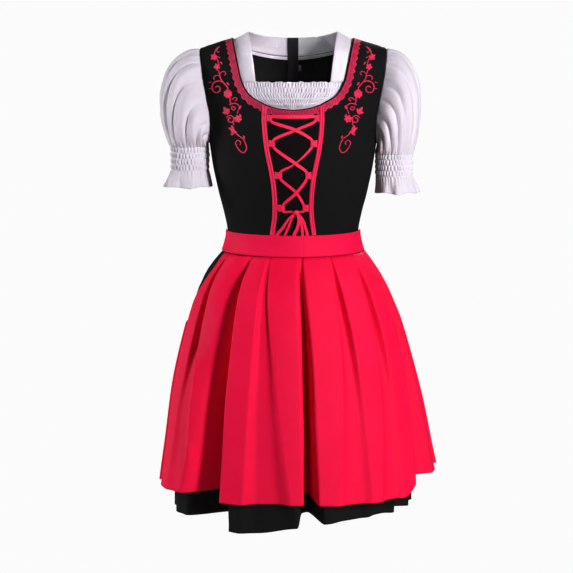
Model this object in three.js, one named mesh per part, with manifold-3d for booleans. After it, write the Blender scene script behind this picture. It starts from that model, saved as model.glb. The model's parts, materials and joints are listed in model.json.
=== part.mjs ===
// A short-sleeved dirndl with its apron, filled out as if worn: a black bodice with a laced front insert,
// a gathered black skirt, white puff sleeves with shirred cuffs, a white neckline band over a shirred
// front, and a pleated red apron tied at the back.
//
// Millimetres, +Z up. The front faces -Y and +X is the wearer's left. The origin lies midway between the
// neck ends of the two shoulder seams, where the wearer carries the garment.
import * as THREE from 'three';
import { mergeVertices } from 'three/addons/utils/BufferGeometryUtils.js';
import Module from 'manifold-3d';

// Driving dimensions
const SEAM_GAP = 0.3;
const BODICE_CLOTH = 1.5;
const BLOUSE_CLOTH = 1.3;
const SKIRT_CLOTH = 1.3;
const APRON_CLOTH = 1.2;
const NECK_HALF = 119;
const SHOULDER_HALF = 184;
const SHOULDER_TIP_Z = -21;
const UNDERARM_Z = -205;
const NECKLINE_Z = -145;
const WAIST_Z = -392;
const BAND_TOP_Z = -379;
const BAND_BOTTOM_Z = -421;
const SKIRT_HEM_Z = -944;
const APRON_HEM_Z = -897;
const SHOULDER_ROUND = 55;
const ZIP_END_Z = -560;
const ZIP_SLIT = 1.4;

// Offsets from the inner face of the bodice, outwards along the cloth's normal
const BLOUSE_OUT = -1.9;
const BLOUSE_IN = BLOUSE_OUT - BLOUSE_CLOTH;
const ON_BODICE = BODICE_CLOTH + 0.9;

const COLOURS = {
  black: { color: 0x1b1b1d, roughness: 0.85 },
  insert: { color: 0x161214, roughness: 0.8 },
  white: { color: 0xe9e3ec, roughness: 0.85 },
  red: { color: 0xe5123f, roughness: 0.6 },
  trim: { color: 0xd81b45, roughness: 0.65 },
  metal: { color: 0x202022, roughness: 0.35, metalness: 0.6 },
};

// Small tools
const { degToRad, radToDeg, clamp } = THREE.MathUtils;
const mix = THREE.MathUtils.lerp;
const vector = (x, y, z) => new THREE.Vector3(x, y, z);
const step = (t) => THREE.MathUtils.smoothstep(t, 0, 1);
const fractions = (count) => Array.from({ length: count + 1 }, (_, i) => i / count);

// One smooth function for each named column of a table, through its rows, by the first column.
function smoothTable(columns, rows) {
  const xs = rows.map((row) => row[0]);
  const functions = {};
  columns.slice(1).forEach((name, c) => {
    const ys = rows.map((row) => row[c + 1]);
    const last = xs.length - 1;
    const slopes = xs.map((_, i) => {
      const before = Math.max(i - 1, 0);
      const after = Math.min(i + 1, last);
      return (ys[after] - ys[before]) / (xs[after] - xs[before]);
    });
    functions[name] = (x) => {
      if (x <= xs[0]) return ys[0] + slopes[0] * (x - xs[0]);
      if (x >= xs[last]) return ys[last] + slopes[last] * (x - xs[last]);
      const i = xs.findIndex((_, k) => x < xs[k + 1]);
      const width = xs[i + 1] - xs[i];
      const t = (x - xs[i]) / width;
      return (
        (1 + 2 * t) * (1 - t) ** 2 * ys[i] +
        t * (1 - t) ** 2 * width * slopes[i] +
        t * t * (3 - 2 * t) * ys[i + 1] +
        t * t * (t - 1) * width * slopes[i + 1]
      );
    };
  });
  return functions;
}

// The torso's inner face: half its width, and its depth in front of and behind the side seams.
const torso = smoothTable(
  ['z', 'half', 'front', 'back'],
  [
    [-440, 152, 113, 106],
    [-421, 139, 106.5, 97.5],
    [-405, 133.5, 102.5, 92.5],
    [-390, 130.5, 100.5, 90],
    [-371, 131, 101, 90],
    [-339, 137.5, 107, 93],
    [-303, 147, 117, 98],
    [-255, 157, 128, 104],
    [-205, 165, 127, 107],
    [-150, 175, 114, 107],
    [-100, 184, 97, 103],
    [-50, 190, 82, 94],
    [0, 194, 68, 78],
    [40, 196, 56, 64],
  ],
);

// The height of the shoulder ridge at each distance from the middle; below 88 mm it is the neck.
const ridge = smoothTable(
  ['x', 'z'],
  [
    [0, 78],
    [60, 38],
    [88, 16],
    [NECK_HALF, 0],
    [150, -10],
    [SHOULDER_HALF, SHOULDER_TIP_Z],
    [200, -26],
  ],
);

// The bodice neckline, from the middle of the front up to the shoulder seam.
const neckline = smoothTable(
  ['along', 'x', 'z'],
  [
    [0, 0, NECKLINE_Z],
    [0.16, 26, -142],
    [0.3, 47, -134],
    [0.42, 65, -125],
    [0.54, 82, -113],
    [0.65, 93, -97],
    [0.75, 101, -77],
    [0.86, 107, -50],
    [0.94, 113, -23],
    [1, NECK_HALF, 0],
  ],
);

// The back neckline, as a height at each distance from the middle.
const backNeckline = smoothTable(
  ['x', 'z'],
  [
    [0, -40],
    [40, -36],
    [82, -24],
    [NECK_HALF, 0],
    [130, 10],
  ],
);

// Where along the neckline its x or its z has a value; both grow along it.
function necklineAlong(name, value) {
  let [low, high] = [0, 1];
  for (let i = 0; i < 30; i += 1) {
    const middle = (low + high) / 2;
    if (neckline[name](middle) < value) low = middle;
    else high = middle;
  }
  return low;
}

// The seam between the side fronts and the laced insert, under the middle of the binding.
const frontSeam = smoothTable(
  ['z', 'x'],
  [
    [-392, 41],
    [-370, 39.2],
    [-349, 36.2],
    [-322, 34.7],
    [-284, 36.5],
    [-255, 40.5],
    [-209, 49.5],
    [-157, 55],
    [-127, 54],
  ],
);

// A point of the torso's inner face. Angle 0 is the middle of the front, 90 the wearer's left side.
function torsoFace(angle, z) {
  const turn = degToRad(angle);
  const toFront = Math.cos(turn);
  const x = torso.half(z) * Math.sin(turn);
  const depth = toFront >= 0 ? torso.front(z) : torso.back(z);
  const drop = clamp((ridge.z(Math.abs(x)) - z) / SHOULDER_ROUND, 0, 1);
  const rounding = Math.sqrt(1 - (1 - drop) ** 2);
  return vector(x, -depth * toFront * rounding, z);
}

// The outward normal of any surface(u, v) whose u runs to the wearer's left across the front, v upwards.
function normalOf(surface, u, v, du, dv) {
  const across = surface(u + du, v).sub(surface(u - du, v));
  const up = surface(u, v).sub(surface(u, v - dv));
  return across.cross(up).normalize();
}

function onTorso(angle, z, out) {
  const normal = normalOf(torsoFace, angle, z, 0.4, 0.4);
  return torsoFace(angle, z).addScaledVector(normal, out);
}

// The angle at which the torso is x from the middle, on the front or the back.
function angleAt(x, z, behind = false) {
  const angle = radToDeg(Math.asin(clamp(x / torso.half(z), -1, 1)));
  return behind ? 180 - angle : angle;
}

const onFrontAt = (x, z, out) => onTorso(angleAt(x, z), z, out);
const onBackAt = (x, z, out) => onTorso(angleAt(x, z, true), z, out);

// Walks a curve of {angle, z} or {x, z} at even lengths on the torso.
function byLength(curve, place, samples = 240) {
  const lengths = [0];
  let before = place(curve(0));
  for (const t of fractions(samples).slice(1)) {
    const now = place(curve(t));
    lengths.push(lengths.at(-1) + now.distanceTo(before));
    before = now;
  }
  const total = lengths.at(-1);
  const at = (share) => {
    const wanted = clamp(share, 0, 1) * total;
    const i = Math.max(1, lengths.findIndex((length) => length >= wanted - 1e-9));
    const part = (wanted - lengths[i - 1]) / (lengths[i] - lengths[i - 1] || 1);
    return curve((i - 1 + part) / samples);
  };
  return { at, total };
}

// Armhole: the angle of its edge at each height, the same in front and behind.
const ARMHOLE_ANGLE = 67.8;
const ARMHOLE_TOP_ANGLE = 72.2;
const ARMHOLE_CURVE_Z = -141;

function armholeAngle(z) {
  if (z >= ARMHOLE_CURVE_Z) {
    const up = (z - ARMHOLE_CURVE_Z) / (SHOULDER_TIP_Z - ARMHOLE_CURVE_Z);
    return mix(ARMHOLE_ANGLE, ARMHOLE_TOP_ANGLE, up);
  }
  const down = clamp((ARMHOLE_CURVE_Z - z) / (ARMHOLE_CURVE_Z - UNDERARM_Z), 0, 1);
  return 90 - (90 - ARMHOLE_ANGLE) * Math.sqrt(1 - down * down);
}

// Turn 0 is the shoulder tip, 90 the front edge, 180 the underarm and 270 the back edge.
function armholeEdge(turn) {
  const middle = (SHOULDER_TIP_Z + UNDERARM_Z) / 2;
  const reach = (SHOULDER_TIP_Z - UNDERARM_Z) / 2;
  const z = middle + reach * Math.cos(degToRad(turn));
  const angle = armholeAngle(z);
  return { angle: Math.sin(degToRad(turn)) >= 0 ? angle : 180 - angle, z };
}

// Solids from points
function solid(positions, indices) {
  const geometry = new THREE.BufferGeometry();
  geometry.setAttribute('position', new THREE.Float32BufferAttribute(positions, 3));
  geometry.setIndex(indices);
  return facingOut(geometry);
}

function facingOut(geometry) {
  const index = geometry.index.array;
  const position = geometry.attributes.position;
  const [a, b, c] = [vector(), vector(), vector()];
  let volume = 0;
  for (let i = 0; i < index.length; i += 3) {
    a.fromBufferAttribute(position, index[i]);
    b.fromBufferAttribute(position, index[i + 1]);
    c.fromBufferAttribute(position, index[i + 2]);
    volume += a.dot(b.cross(c));
  }
  if (volume < 0) {
    for (let i = 0; i < index.length; i += 3) {
      [index[i + 1], index[i + 2]] = [index[i + 2], index[i + 1]];
    }
  }
  geometry.computeVertexNormals();
  return geometry;
}

// A cloth wall: face(u, v, layer) gives a point for each column u and row v, layer 0 inside and 1 outside.
function wall(us, vs, face, { round = false } = {}) {
  const positions = [];
  const indices = [];
  const columns = us.length;
  const rows = vs.length;
  for (const layer of [0, 1]) {
    for (const v of vs) for (const u of us) positions.push(...face(u, v, layer).toArray());
  }
  const at = (layer, j, i) => (layer * rows + j) * columns + (i % columns);
  const quad = (a, b, c, d) => indices.push(a, b, c, a, c, d);
  const spans = round ? columns : columns - 1;
  for (let j = 0; j < rows - 1; j += 1) {
    for (let i = 0; i < spans; i += 1) {
      quad(at(1, j, i), at(1, j, i + 1), at(1, j + 1, i + 1), at(1, j + 1, i));
      quad(at(0, j, i), at(0, j + 1, i), at(0, j + 1, i + 1), at(0, j, i + 1));
    }
  }
  for (let i = 0; i < spans; i += 1) {
    quad(at(0, 0, i), at(0, 0, i + 1), at(1, 0, i + 1), at(1, 0, i));
    quad(at(0, rows - 1, i), at(1, rows - 1, i), at(1, rows - 1, i + 1), at(0, rows - 1, i + 1));
  }
  if (!round) {
    const end = columns - 1;
    for (let j = 0; j < rows - 1; j += 1) {
      quad(at(0, j, 0), at(1, j, 0), at(1, j + 1, 0), at(0, j + 1, 0));
      quad(at(0, j, end), at(0, j + 1, end), at(1, j + 1, end), at(1, j, end));
    }
  }
  return solid(positions, indices);
}

// A narrow band folded back over itself: profile gives its outer face as lengths along and out, and
// place(along, v, out) puts it on the garment, v running from -1 to 1 across the band.
function foldedBand(profile, cloth, sides, place) {
  return wall(sides, profile, (v, station, layer) => {
    const k = profile.indexOf(station);
    const before = profile[Math.max(k - 1, 0)];
    const after = profile[Math.min(k + 1, profile.length - 1)];
    const length = Math.hypot(after.along - before.along, after.out - before.out);
    const shift = (layer * cloth) / length;
    const along = station.along - shift * (after.out - before.out);
    const out = station.out + shift * (after.along - before.along);
    return place(along, v, out);
  });
}

const garment = new THREE.Group();

function add(name, geometry, look, parent = garment) {
  const material = new THREE.MeshStandardMaterial({ metalness: 0, ...COLOURS[look] });
  const mesh = new THREE.Mesh(geometry, material);
  mesh.name = name;
  parent.add(mesh);
  return mesh;
}

// Front pieces keep half a seam gap in front of the side and shoulder seams, back pieces behind them.
const forward = (point) => point.setY(point.y - SEAM_GAP / 2);
const backward = (point) => point.setY(point.y + SEAM_GAP / 2);

// Bodice: the side fronts, from the insert's seam and the neckline to the side seam and the armhole.
const INSERT_TOP = 0.355;
const lowerRows = [0, 0.05, 0.12, 0.24, 0.38, 0.52, 0.68, 0.84, 1];
const upperRows = fractions(10).slice(1);

function sideFrontEdges(v) {
  if (v <= 1) {
    const top = { x: neckline.x(INSERT_TOP), z: neckline.z(INSERT_TOP) };
    const innerZ = mix(WAIST_Z, top.z, v);
    const inner = { angle: angleAt(frontSeam.x(innerZ) + SEAM_GAP / 2, innerZ), z: innerZ };
    return [inner, { angle: 90, z: mix(WAIST_Z, UNDERARM_Z, v) }];
  }
  const onNeckline = necklineAbove.at(v - 1);
  const inner = { angle: angleAt(onNeckline.x, onNeckline.z), z: onNeckline.z };
  return [inner, armholeFront.at(v - 1)];
}

const necklineAbove = byLength(
  (t) => ({ x: neckline.x(mix(INSERT_TOP, 1, t)), z: neckline.z(mix(INSERT_TOP, 1, t)) }),
  ({ x, z }) => onFrontAt(x, z, 0),
);
const armholeFront = byLength(
  (t) => armholeEdge(180 * (1 - t)),
  ({ angle, z }) => onTorso(angle, z, 0),
);

for (const [side, word] of [[1, 'left'], [-1, 'right']]) {
  const geometry = wall(fractions(9), [...lowerRows, ...upperRows.map((v) => v + 1)], (u, v, layer) => {
    const [inner, outer] = sideFrontEdges(v);
    const angle = mix(inner.angle, outer.angle, u);
    return forward(onTorso(side * angle, mix(inner.z, outer.z, u), layer * BODICE_CLOTH));
  });
  add(`bodice_front_${word}`, geometry, 'black');
}

// The laced insert between the two front seams.
const insertTop = (share) => neckline.z(INSERT_TOP * Math.abs(share));
add(
  'bodice_insert',
  wall([-1, -0.66, -0.33, 0, 0.33, 0.66, 1], lowerRows, (u, v, layer) => {
    const z = mix(WAIST_Z, insertTop(u), v);
    const half = frontSeam.x(z) - SEAM_GAP / 2;
    return forward(onFrontAt(u * half, z, layer * BODICE_CLOTH));
  }),
  'insert',
);

// Bodice backs, from the zip's slit to the side seam, up to the back neckline and the shoulder seam.
const backTop = (x) => (x < NECK_HALF ? backNeckline.z(x) : ridge.z(x));

function backColumn(u) {
  const outerAngle = (z) => (z < UNDERARM_Z ? 90 : armholeAngle(z));
  const xAt = (z) => Math.max(ZIP_SLIT, torso.half(z) * Math.sin(degToRad(outerAngle(z)) * u));
  let top = -30;
  for (let i = 0; i < 30; i += 1) top = mix(top, backTop(xAt(top)), 0.6);
  return { xAt, top: u === 1 ? SHOULDER_TIP_Z : top };
}

const neckColumn = 0.585;
const backColumns = [0, 0.15, 0.3, 0.42, 0.51, neckColumn, 0.66, 0.76, 0.88, 1];
for (const [side, word] of [[1, 'left'], [-1, 'right']]) {
  const geometry = wall(backColumns, fractions(14), (u, v, layer) => {
    const { xAt, top } = backColumn(u);
    const z = mix(WAIST_Z, top, Math.sin((v * Math.PI) / 2));
    return backward(onBackAt(side * xAt(z), z, layer * BODICE_CLOTH));
  });
  add(`bodice_back_${word}`, geometry, 'black');
}

// Neckline band: a strap up each side of the front, over the shoulder and round to the zip.
const STRAP_BOTTOM_Z = -82;
const TUCK = 4;
const strapFront = smoothTable(
  ['along', 'outerX', 'innerX', 'outerZ', 'innerZ'],
  [
    [0, 99 + TUCK, 73, STRAP_BOTTOM_Z, STRAP_BOTTOM_Z],
    [0.3, 107 + TUCK, 77, -50, -47],
    [0.55, 112 + TUCK, 81.5, -26, -18],
    [0.75, 116 + TUCK, 85, -11, 0],
    [0.9, 118.3 + TUCK, 87.6, -4.5, 11],
    [1, NECK_HALF + TUCK, 88.6, -2, 15.6],
  ],
);
const strapBack = smoothTable(
  ['along', 'outerX', 'innerX', 'outerZ', 'innerZ'],
  [
    [0, NECK_HALF + TUCK, 88.6, -2, 15.6],
    [0.12, 119, 86.5, -6, 14.6],
    [0.3, 103, 75, -17, 10.5],
    [0.5, 78, 57, -29, 6.5],
    [0.75, 40, 30, -40, 3],
    [1, ZIP_SLIT, ZIP_SLIT, -44, 2],
  ],
);
const strapRows = [
  ...[0, 0.2, 0.4, 0.6, 0.78, 0.92].map((along) => ({ along, behind: false })),
  ...[0, 0.1, 0.24, 0.4, 0.6, 0.8, 1].map((along) => ({ along, behind: true })),
];
for (const [side, word] of [[1, 'left'], [-1, 'right']]) {
  const geometry = wall([0, 0.3, 0.65, 1], strapRows, (u, { along, behind }, layer) => {
    const edges = behind ? strapBack : strapFront;
    const x = mix(edges.outerX(along), edges.innerX(along), u);
    const onRidge = behind && along === 0;
    const z = onRidge ? ridge.z(x) : mix(edges.outerZ(along), edges.innerZ(along), u);
    const place = behind ? onBackAt : onFrontAt;
    const tucked = 1.6 * Math.max(0, 1 - u / 0.3);
    return place(side * x, z, (layer ? BLOUSE_OUT : BLOUSE_IN) - tucked);
  });
  add(`neck_band_${word}`, geometry, 'white');
}

// Shirred front: rows of elastic draw it into small puckers, which swap places from row to row.
const SHIRR_COLUMNS = 44;
const SHIRR_ROWS = 4;
const PUCKER = 0.8;
const shirrZ = (v) => mix(NECKLINE_Z - 6, STRAP_BOTTOM_Z - SEAM_GAP, v);
const necklineXAt = (z) => neckline.x(necklineAlong('z', z));
add(
  'shirred_front',
  wall(fractions(SHIRR_COLUMNS), fractions(SHIRR_ROWS), (u, v, layer) => {
    const z = shirrZ(v);
    const half = Math.min(necklineXAt(Math.max(z, NECKLINE_Z + 3)) + TUCK + 6, 100);
    const column = Math.round(u * SHIRR_COLUMNS);
    const row = Math.round(v * SHIRR_ROWS);
    const pucker = PUCKER * ((column + row) % 2 ? 1 : -1);
    const top = row === SHIRR_ROWS ? 1.2 * Math.sin(column * 1.3) - 1.2 : 0;
    const out = layer ? BLOUSE_IN + 0.2 + pucker : BLOUSE_IN - 1.9;
    return onFrontAt(mix(-half, half, u), z + top, out);
  }),
  'white',
);

// Sleeves: one cut piece each, gathered at the armhole, shirred into a cuff, and ending in a ruffle.
const SLEEVES = [
  {
    word: 'left', side: 1, cuffX: 202, cuffY: -4, cuffTop: -226, cuffHeight: 43, cuffRadius: 36.5,
    ruffleDrop: 34, ruffleShift: 4, flare: 8, puffX: 57, puffSide: 28, puffUp: 84,
  },
  {
    word: 'right', side: -1, cuffX: 206, cuffY: -4, cuffTop: -211, cuffHeight: 47, cuffRadius: 37.5,
    ruffleDrop: 33, ruffleShift: 0, flare: 12, puffX: 66, puffSide: 38, puffUp: 74,
  },
];
const SLEEVE_COLUMNS = 40;
const PUFF_FOLDS = 12;
const CUFF_PUCKERS = 20;
const RUFFLE_WAVES = 8;
const ARMHOLE_CLEAR = 1.5;
const puffRows = [0, 0.12, 0.3, 0.52, 0.78];
const cuffRows = [1, 1.33, 1.67, 2];
const ruffleRows = [2.35, 3];

function sleeveFace(sleeve, turn, along) {
  const { side, cuffX, cuffY, cuffTop, cuffHeight, cuffRadius } = sleeve;
  const angle = degToRad(turn);
  const toTop = Math.cos(angle);
  const toFront = Math.sin(angle);
  const cuffRing = (z, radius, shift) =>
    vector(side * (cuffX + shift + radius * toTop), cuffY - radius * toFront, z);
  if (along <= 1) {
    const edge = armholeEdge(turn);
    const lift = (1 + toTop) / 2;
    const start = onTorso(edge.angle, edge.z, BODICE_CLOTH / 2);
    start.x += ARMHOLE_CLEAR;
    start.x *= side;
    const end = cuffRing(cuffTop, cuffRadius, 0);
    const leave = vector(side * (7 + sleeve.puffX * lift), -34 * toFront, 4 * lift);
    const arrive = vector(side * sleeve.puffSide * lift ** 2, -36 * toFront, 3 + sleeve.puffUp * lift);
    const path = new THREE.CubicBezierCurve3(start, start.clone().add(leave), end.clone().add(arrive), end);
    const point = path.getPoint(along);
    const fade = Math.sin(Math.PI * Math.min(along, 0.93));
    const fold = fade * Math.cos(PUFF_FOLDS * angle + 1.2 * along * toFront);
    const away = point.clone().sub(vector(side * (cuffX - 12), 0, point.z)).normalize();
    return point.addScaledVector(away, 2.4 * fold * (0.35 + 0.65 * lift));
  }
  const z = cuffTop - cuffHeight * Math.min(along - 1, 1);
  if (along <= 2) {
    const row = Math.round((along - 1) * 3);
    const pucker = 1.1 * Math.cos(CUFF_PUCKERS * angle + Math.PI * row);
    return cuffRing(z, cuffRadius + pucker, 0);
  }
  const down = along - 2;
  const inner = clamp(-toTop, 0, 1);
  const wave = Math.cos(RUFFLE_WAVES * angle + 0.8 * side) * 4.2 * down * (1 - 0.55 * inner);
  const radius = cuffRadius + sleeve.flare * (1 - 0.55 * inner) * down + wave;
  const drop = down * (sleeve.ruffleDrop + 1.5 * Math.sin(5 * angle));
  return cuffRing(z - drop, radius, sleeve.ruffleShift * down);
}

for (const sleeve of SLEEVES) {
  const turns = fractions(SLEEVE_COLUMNS).slice(0, -1).map((t) => 360 * t);
  const rings = [...puffRows, ...cuffRows, ...ruffleRows];
  const surface = (turn, along) => sleeveFace(sleeve, turn, clamp(along, 0, 3));
  const geometry = wall(
    turns,
    rings,
    (turn, along, layer) => {
      const nextTurn = surface(turn + 3, along).sub(surface(turn - 3, along));
      const onward = surface(turn, along + 0.04).sub(surface(turn, along - 0.04));
      const normal = nextTurn.cross(onward).normalize().multiplyScalar(-sleeve.side);
      return surface(turn, along).addScaledVector(normal, layer ? -BLOUSE_CLOTH / 2 : BLOUSE_CLOTH / 2);
    },
    { round: true },
  );
  add(`sleeve_${sleeve.word}`, geometry, 'white');
}

// Skirt and apron: the smooth shape they hang on, below the waist seam.
const skirt = smoothTable(
  ['z', 'half', 'front', 'back', 'shift'],
  [
    [-960, 245, 187, 205, 0],
    [-867, 242, 184, 198, 0],
    [-766, 235.5, 180, 189, 0],
    [-699, 229.5, 175, 181, 0],
    [-632, 220.5, 169, 171, 0],
    [-565, 207.5, 160, 158, -1],
    [-532, 198, 153, 149, -2],
    [-499, 187.5, 145, 139, -3],
    [-483, 180.3, 140, 132, -3],
    [-466, 172, 134, 125, -3],
    [-450, 161.8, 126.5, 117, -2.5],
    [-434, 150, 116.5, 107.5, -1.5],
    [-421, 139, 106.5, 97.5, 0],
    [-405, 133.5, 102.5, 92.5, 0],
    [WAIST_Z, 130.5, 100.5, 90, 0],
  ],
);

// Each fold is a valley between two crests: where it starts at the band, where it ends at the hem, how deep
// it is there, and how far each of its two slopes reaches there, in degrees.
const FOLD_COLUMNS = ['band', 'hem', 'depth', 'rightSlope', 'leftSlope'];
const asFold = (row) => Object.fromEntries(FOLD_COLUMNS.map((name, i) => [name, row[i]]));
const asFolds = (rows) => rows.map(asFold);
const FRONT_FOLDS = asFolds([
  [-61, -59, 20, 8, 7],
  [-36.3, -36, 54, 15, 4.2],
  [-17.5, -7, 13, 8, 7],
  [6.3, 6.7, 58, 3.3, 3.3],
  [29.6, 29, 16, 9, 8],
  [53.3, 45.5, 15, 6.5, 5.5],
  [75, 63, 36, 5, 13],
]);
const SIDE_FOLDS = asFolds([
  [-83, -83.5, 14, 5, 5],
  [84, 84, 13, 4.5, 4.5],
]);
const BACK_FOLDS = asFolds([
  [103, 101, 25, 6, 6.5],
  [121, 120, 31, 6.5, 6],
  [140, 141, 27, 6, 6.5],
  [160, 161, 33, 6.5, 5.5],
]);
const mirrored = (folds) =>
  folds.map((fold) => ({
    ...fold,
    band: 360 - fold.band,
    hem: 361 - fold.hem,
    rightSlope: fold.leftSlope,
    leftSlope: fold.rightSlope,
  }));
const ALL_FOLDS = [
  ...FRONT_FOLDS,
  ...SIDE_FOLDS,
  ...BACK_FOLDS,
  ...mirrored(BACK_FOLDS),
];
const PLEAT_DEPTH = 2.2;
const PLEAT_WIDTH = 2.2;

// A fold's middle and reach at a share of the way down, widened on a layer that lies further in.
function foldAt(fold, down, widen) {
  return {
    middle: mix(fold.band, fold.hem, down),
    right: mix(PLEAT_WIDTH, fold.rightSlope, down) + widen,
    left: mix(PLEAT_WIDTH, fold.leftSlope, down) + widen,
    depth: mix(PLEAT_DEPTH, fold.depth, down ** 0.9),
  };
}

function valleyDepth(angle, down, widen) {
  let depth = 0;
  for (const fold of ALL_FOLDS) {
    const { middle, right, left, depth: full } = foldAt(fold, down, widen);
    const off = ((angle - middle + 540) % 360) - 180;
    depth += full * (1 - step(Math.abs(off) / (off < 0 ? right : left)));
  }
  return depth;
}

// The skirt hangs a little lower on the wearer's right, and the apron a little higher at its left.
const skirtHem = (angle) => {
  const sideways = Math.sin(degToRad(angle));
  return SKIRT_HEM_Z + 10 * Math.tanh(3 * sideways) + 1.5 * Math.cos(degToRad(6 * angle + 20));
};
const apronHem = (angle) => {
  const lift = 26 * step((angle - 52) / 36);
  return APRON_HEM_Z + lift + 1.5 * Math.cos(degToRad(7 * angle));
};

// How far the apron stands off the skirt: least in front, most at its free sides.
const APRON_FRONT_GAP = 8;
const APRON_SIDE_GAP = { left: 50, right: 33 };
function apronGap(angle, down) {
  const side = Math.sin(degToRad(clamp(angle, -90, 90))) ** 2;
  const sideGap = angle > 0 ? APRON_SIDE_GAP.left : APRON_SIDE_GAP.right;
  return SKIRT_CLOTH + 2.4 + mix(APRON_FRONT_GAP * down, sideGap * down ** 1.5, side);
}

function skirtShape(angle, z, down, widen, gap) {
  const turn = degToRad(angle);
  const half = skirt.half(z);
  const depth = Math.cos(turn) >= 0 ? skirt.front(z) : skirt.back(z);
  const x = half * Math.sin(turn);
  const y = -depth * Math.cos(turn);
  const out = vector(x / half ** 2, y / depth ** 2, 0).normalize();
  return vector(x + skirt.shift(z), y, z).addScaledVector(out, gap - valleyDepth(angle, down, widen));
}

const SKIRT_TOP_Z = WAIST_Z - SEAM_GAP;
const APRON_TOP_Z = BAND_BOTTOM_Z - SEAM_GAP;
const SKIRT_WIDEN = 2.8;

function skirtFace(angle, down) {
  const z = mix(SKIRT_TOP_Z, skirtHem(angle), down);
  const below = clamp((z - APRON_TOP_Z) / (SKIRT_HEM_Z - APRON_TOP_Z), 0, 1);
  return skirtShape(angle, z, below, mix(0.7, SKIRT_WIDEN, below), 0);
}

function apronFace(angle, down) {
  const z = mix(APRON_TOP_Z, apronHem(angle), down);
  const below = clamp((z - APRON_TOP_Z) / (SKIRT_HEM_Z - APRON_TOP_Z), 0, 1);
  return skirtShape(angle, z, below, 0, apronGap(angle, below));
}

// A column keeps its place between the edges and the valleys of the folds beside it on the way down.
const turned = (fold, degrees) => ({ ...fold, band: fold.band + degrees, hem: fold.hem + degrees });
const SORTED_FOLDS = [-360, 0, 360]
  .flatMap((degrees) => ALL_FOLDS.map((fold) => turned(fold, degrees)))
  .filter((fold) => fold.hem > -125 && fold.hem < 300)
  .sort((a, b) => a.hem - b.hem);

function foldMarks(down) {
  return SORTED_FOLDS.flatMap((fold) => {
    const { middle, right, left } = foldAt(fold, down, 0);
    return [middle - right, middle, middle + left];
  });
}

const HEM_MARKS = foldMarks(1);
function follow(hemAngle, down) {
  const marks = foldMarks(down);
  const i = clamp(HEM_MARKS.findIndex((mark) => hemAngle < mark), 1, marks.length - 1);
  const share = (hemAngle - HEM_MARKS[i - 1]) / (HEM_MARKS[i] - HEM_MARKS[i - 1]);
  return mix(marks[i - 1], marks[i], share);
}

// The fewest angles that keep the hem's shape within a tolerance, no further apart than the spacing and no
// closer than 1.2 degrees. Higher up, a column stays clear of the piece's own edges.
const CLOSEST = 0.5;

function hemColumns(surface, from, to, tolerance, spacing) {
  const count = Math.round((to(1) - from(1)) / 0.3);
  const apart = 4;
  const angles = fractions(count).map((share) => mix(from(1), to(1), share));
  const points = angles.map((angle) => surface(angle, 1));
  const chord = new THREE.Line3();
  const nearest = vector();
  const kept = [0];
  const split = (first, last) => {
    chord.set(points[first], points[last]);
    let worst = 0;
    let at = Math.round((first + last) / 2);
    for (let i = first + apart; i <= last - apart; i += 1) {
      const off = chord.closestPointToPoint(points[i], true, nearest).distanceTo(points[i]);
      if (off > worst) [worst, at] = [off, i];
    }
    if (worst > tolerance || angles[last] - angles[first] > spacing) {
      const cut = worst > tolerance ? at : Math.round((first + last) / 2);
      split(first, cut);
      split(cut, last);
    } else {
      kept.push(last);
    }
  };
  split(0, count);
  const end = kept.length - 1;
  return kept.map((place, i) => {
    if (i === 0) return from;
    if (i === end) return to;
    return (down) => {
      const lowest = from(down) + i * CLOSEST;
      const highest = to(down) - (end - i) * CLOSEST;
      return clamp(follow(angles[place], down), lowest, highest);
    };
  });
}

// A hanging cloth wall on a surface(angle, down).
function hanging(surface, columns, rows, thickness, toFoldDown = (down) => down) {
  return wall(columns, rows, (column, down, layer) => {
    const angle = column(clamp(toFoldDown(down), 0, 1));
    const upward = (a, v) => surface(a, 1 - v);
    const normal = normalOf(upward, angle, 1 - down, 0.35, down < 1 ? -0.01 : 0.01);
    if (down < 1) normal.negate();
    return surface(angle, down).addScaledVector(normal, layer * thickness);
  });
}

const skirtDown = (down) => {
  const z = mix(SKIRT_TOP_Z, SKIRT_HEM_Z, down);
  return (z - APRON_TOP_Z) / (SKIRT_HEM_Z - APRON_TOP_Z);
};
const skirtRows = [0, 0.055, 0.085, 0.125, 0.19, 0.3, 0.47, 0.72, 1];
// The angle that a short length takes up on the skirt at a share of the way down.
const degreesFor = (length, down) => radToDeg(length / mix(95, 190, down));
const sideSeam = (sign) => (down) => sign * (90 - degreesFor(SEAM_GAP / 2, down));
const sideSeamBehind = (down) => 90 + degreesFor(SEAM_GAP / 2, down);
const zipEdge = (down) => 180 - degreesFor(ZIP_SLIT, down);
const SKIRT_PANELS = [
  { name: 'skirt_front', from: sideSeam(-1), to: sideSeam(1) },
  { name: 'skirt_back_left', from: sideSeamBehind, to: zipEdge },
  {
    name: 'skirt_back_right',
    from: (down) => 360 - zipEdge(down),
    to: (down) => 360 - sideSeamBehind(down),
  },
];
for (const { name, from, to } of SKIRT_PANELS) {
  const columns = hemColumns(skirtFace, from, to, 2.1, 10);
  add(name, hanging(skirtFace, columns, skirtRows, SKIRT_CLOTH, skirtDown), 'black');
}

// Apron skirt: its right edge starts inside the side and both edges swing back towards the hem.
const apronRight = (down) => -mix(77, 100, step(down / 0.4));
const apronLeft = (down) => mix(90, 99, step(down / 0.5));
const apronRows = [1, 0.8, 0.6, 0.42, 0.26, 0.15, 0.08, 0.035, 0];
const apronDown = (down) => (down * (APRON_TOP_Z - APRON_HEM_Z)) / (APRON_TOP_Z - SKIRT_HEM_Z);
const apronColumns = hemColumns(apronFace, apronRight, apronLeft, 1.4, 9);
add('apron_skirt', hanging(apronFace, apronColumns, apronRows, APRON_CLOTH, apronDown), 'red');

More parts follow.
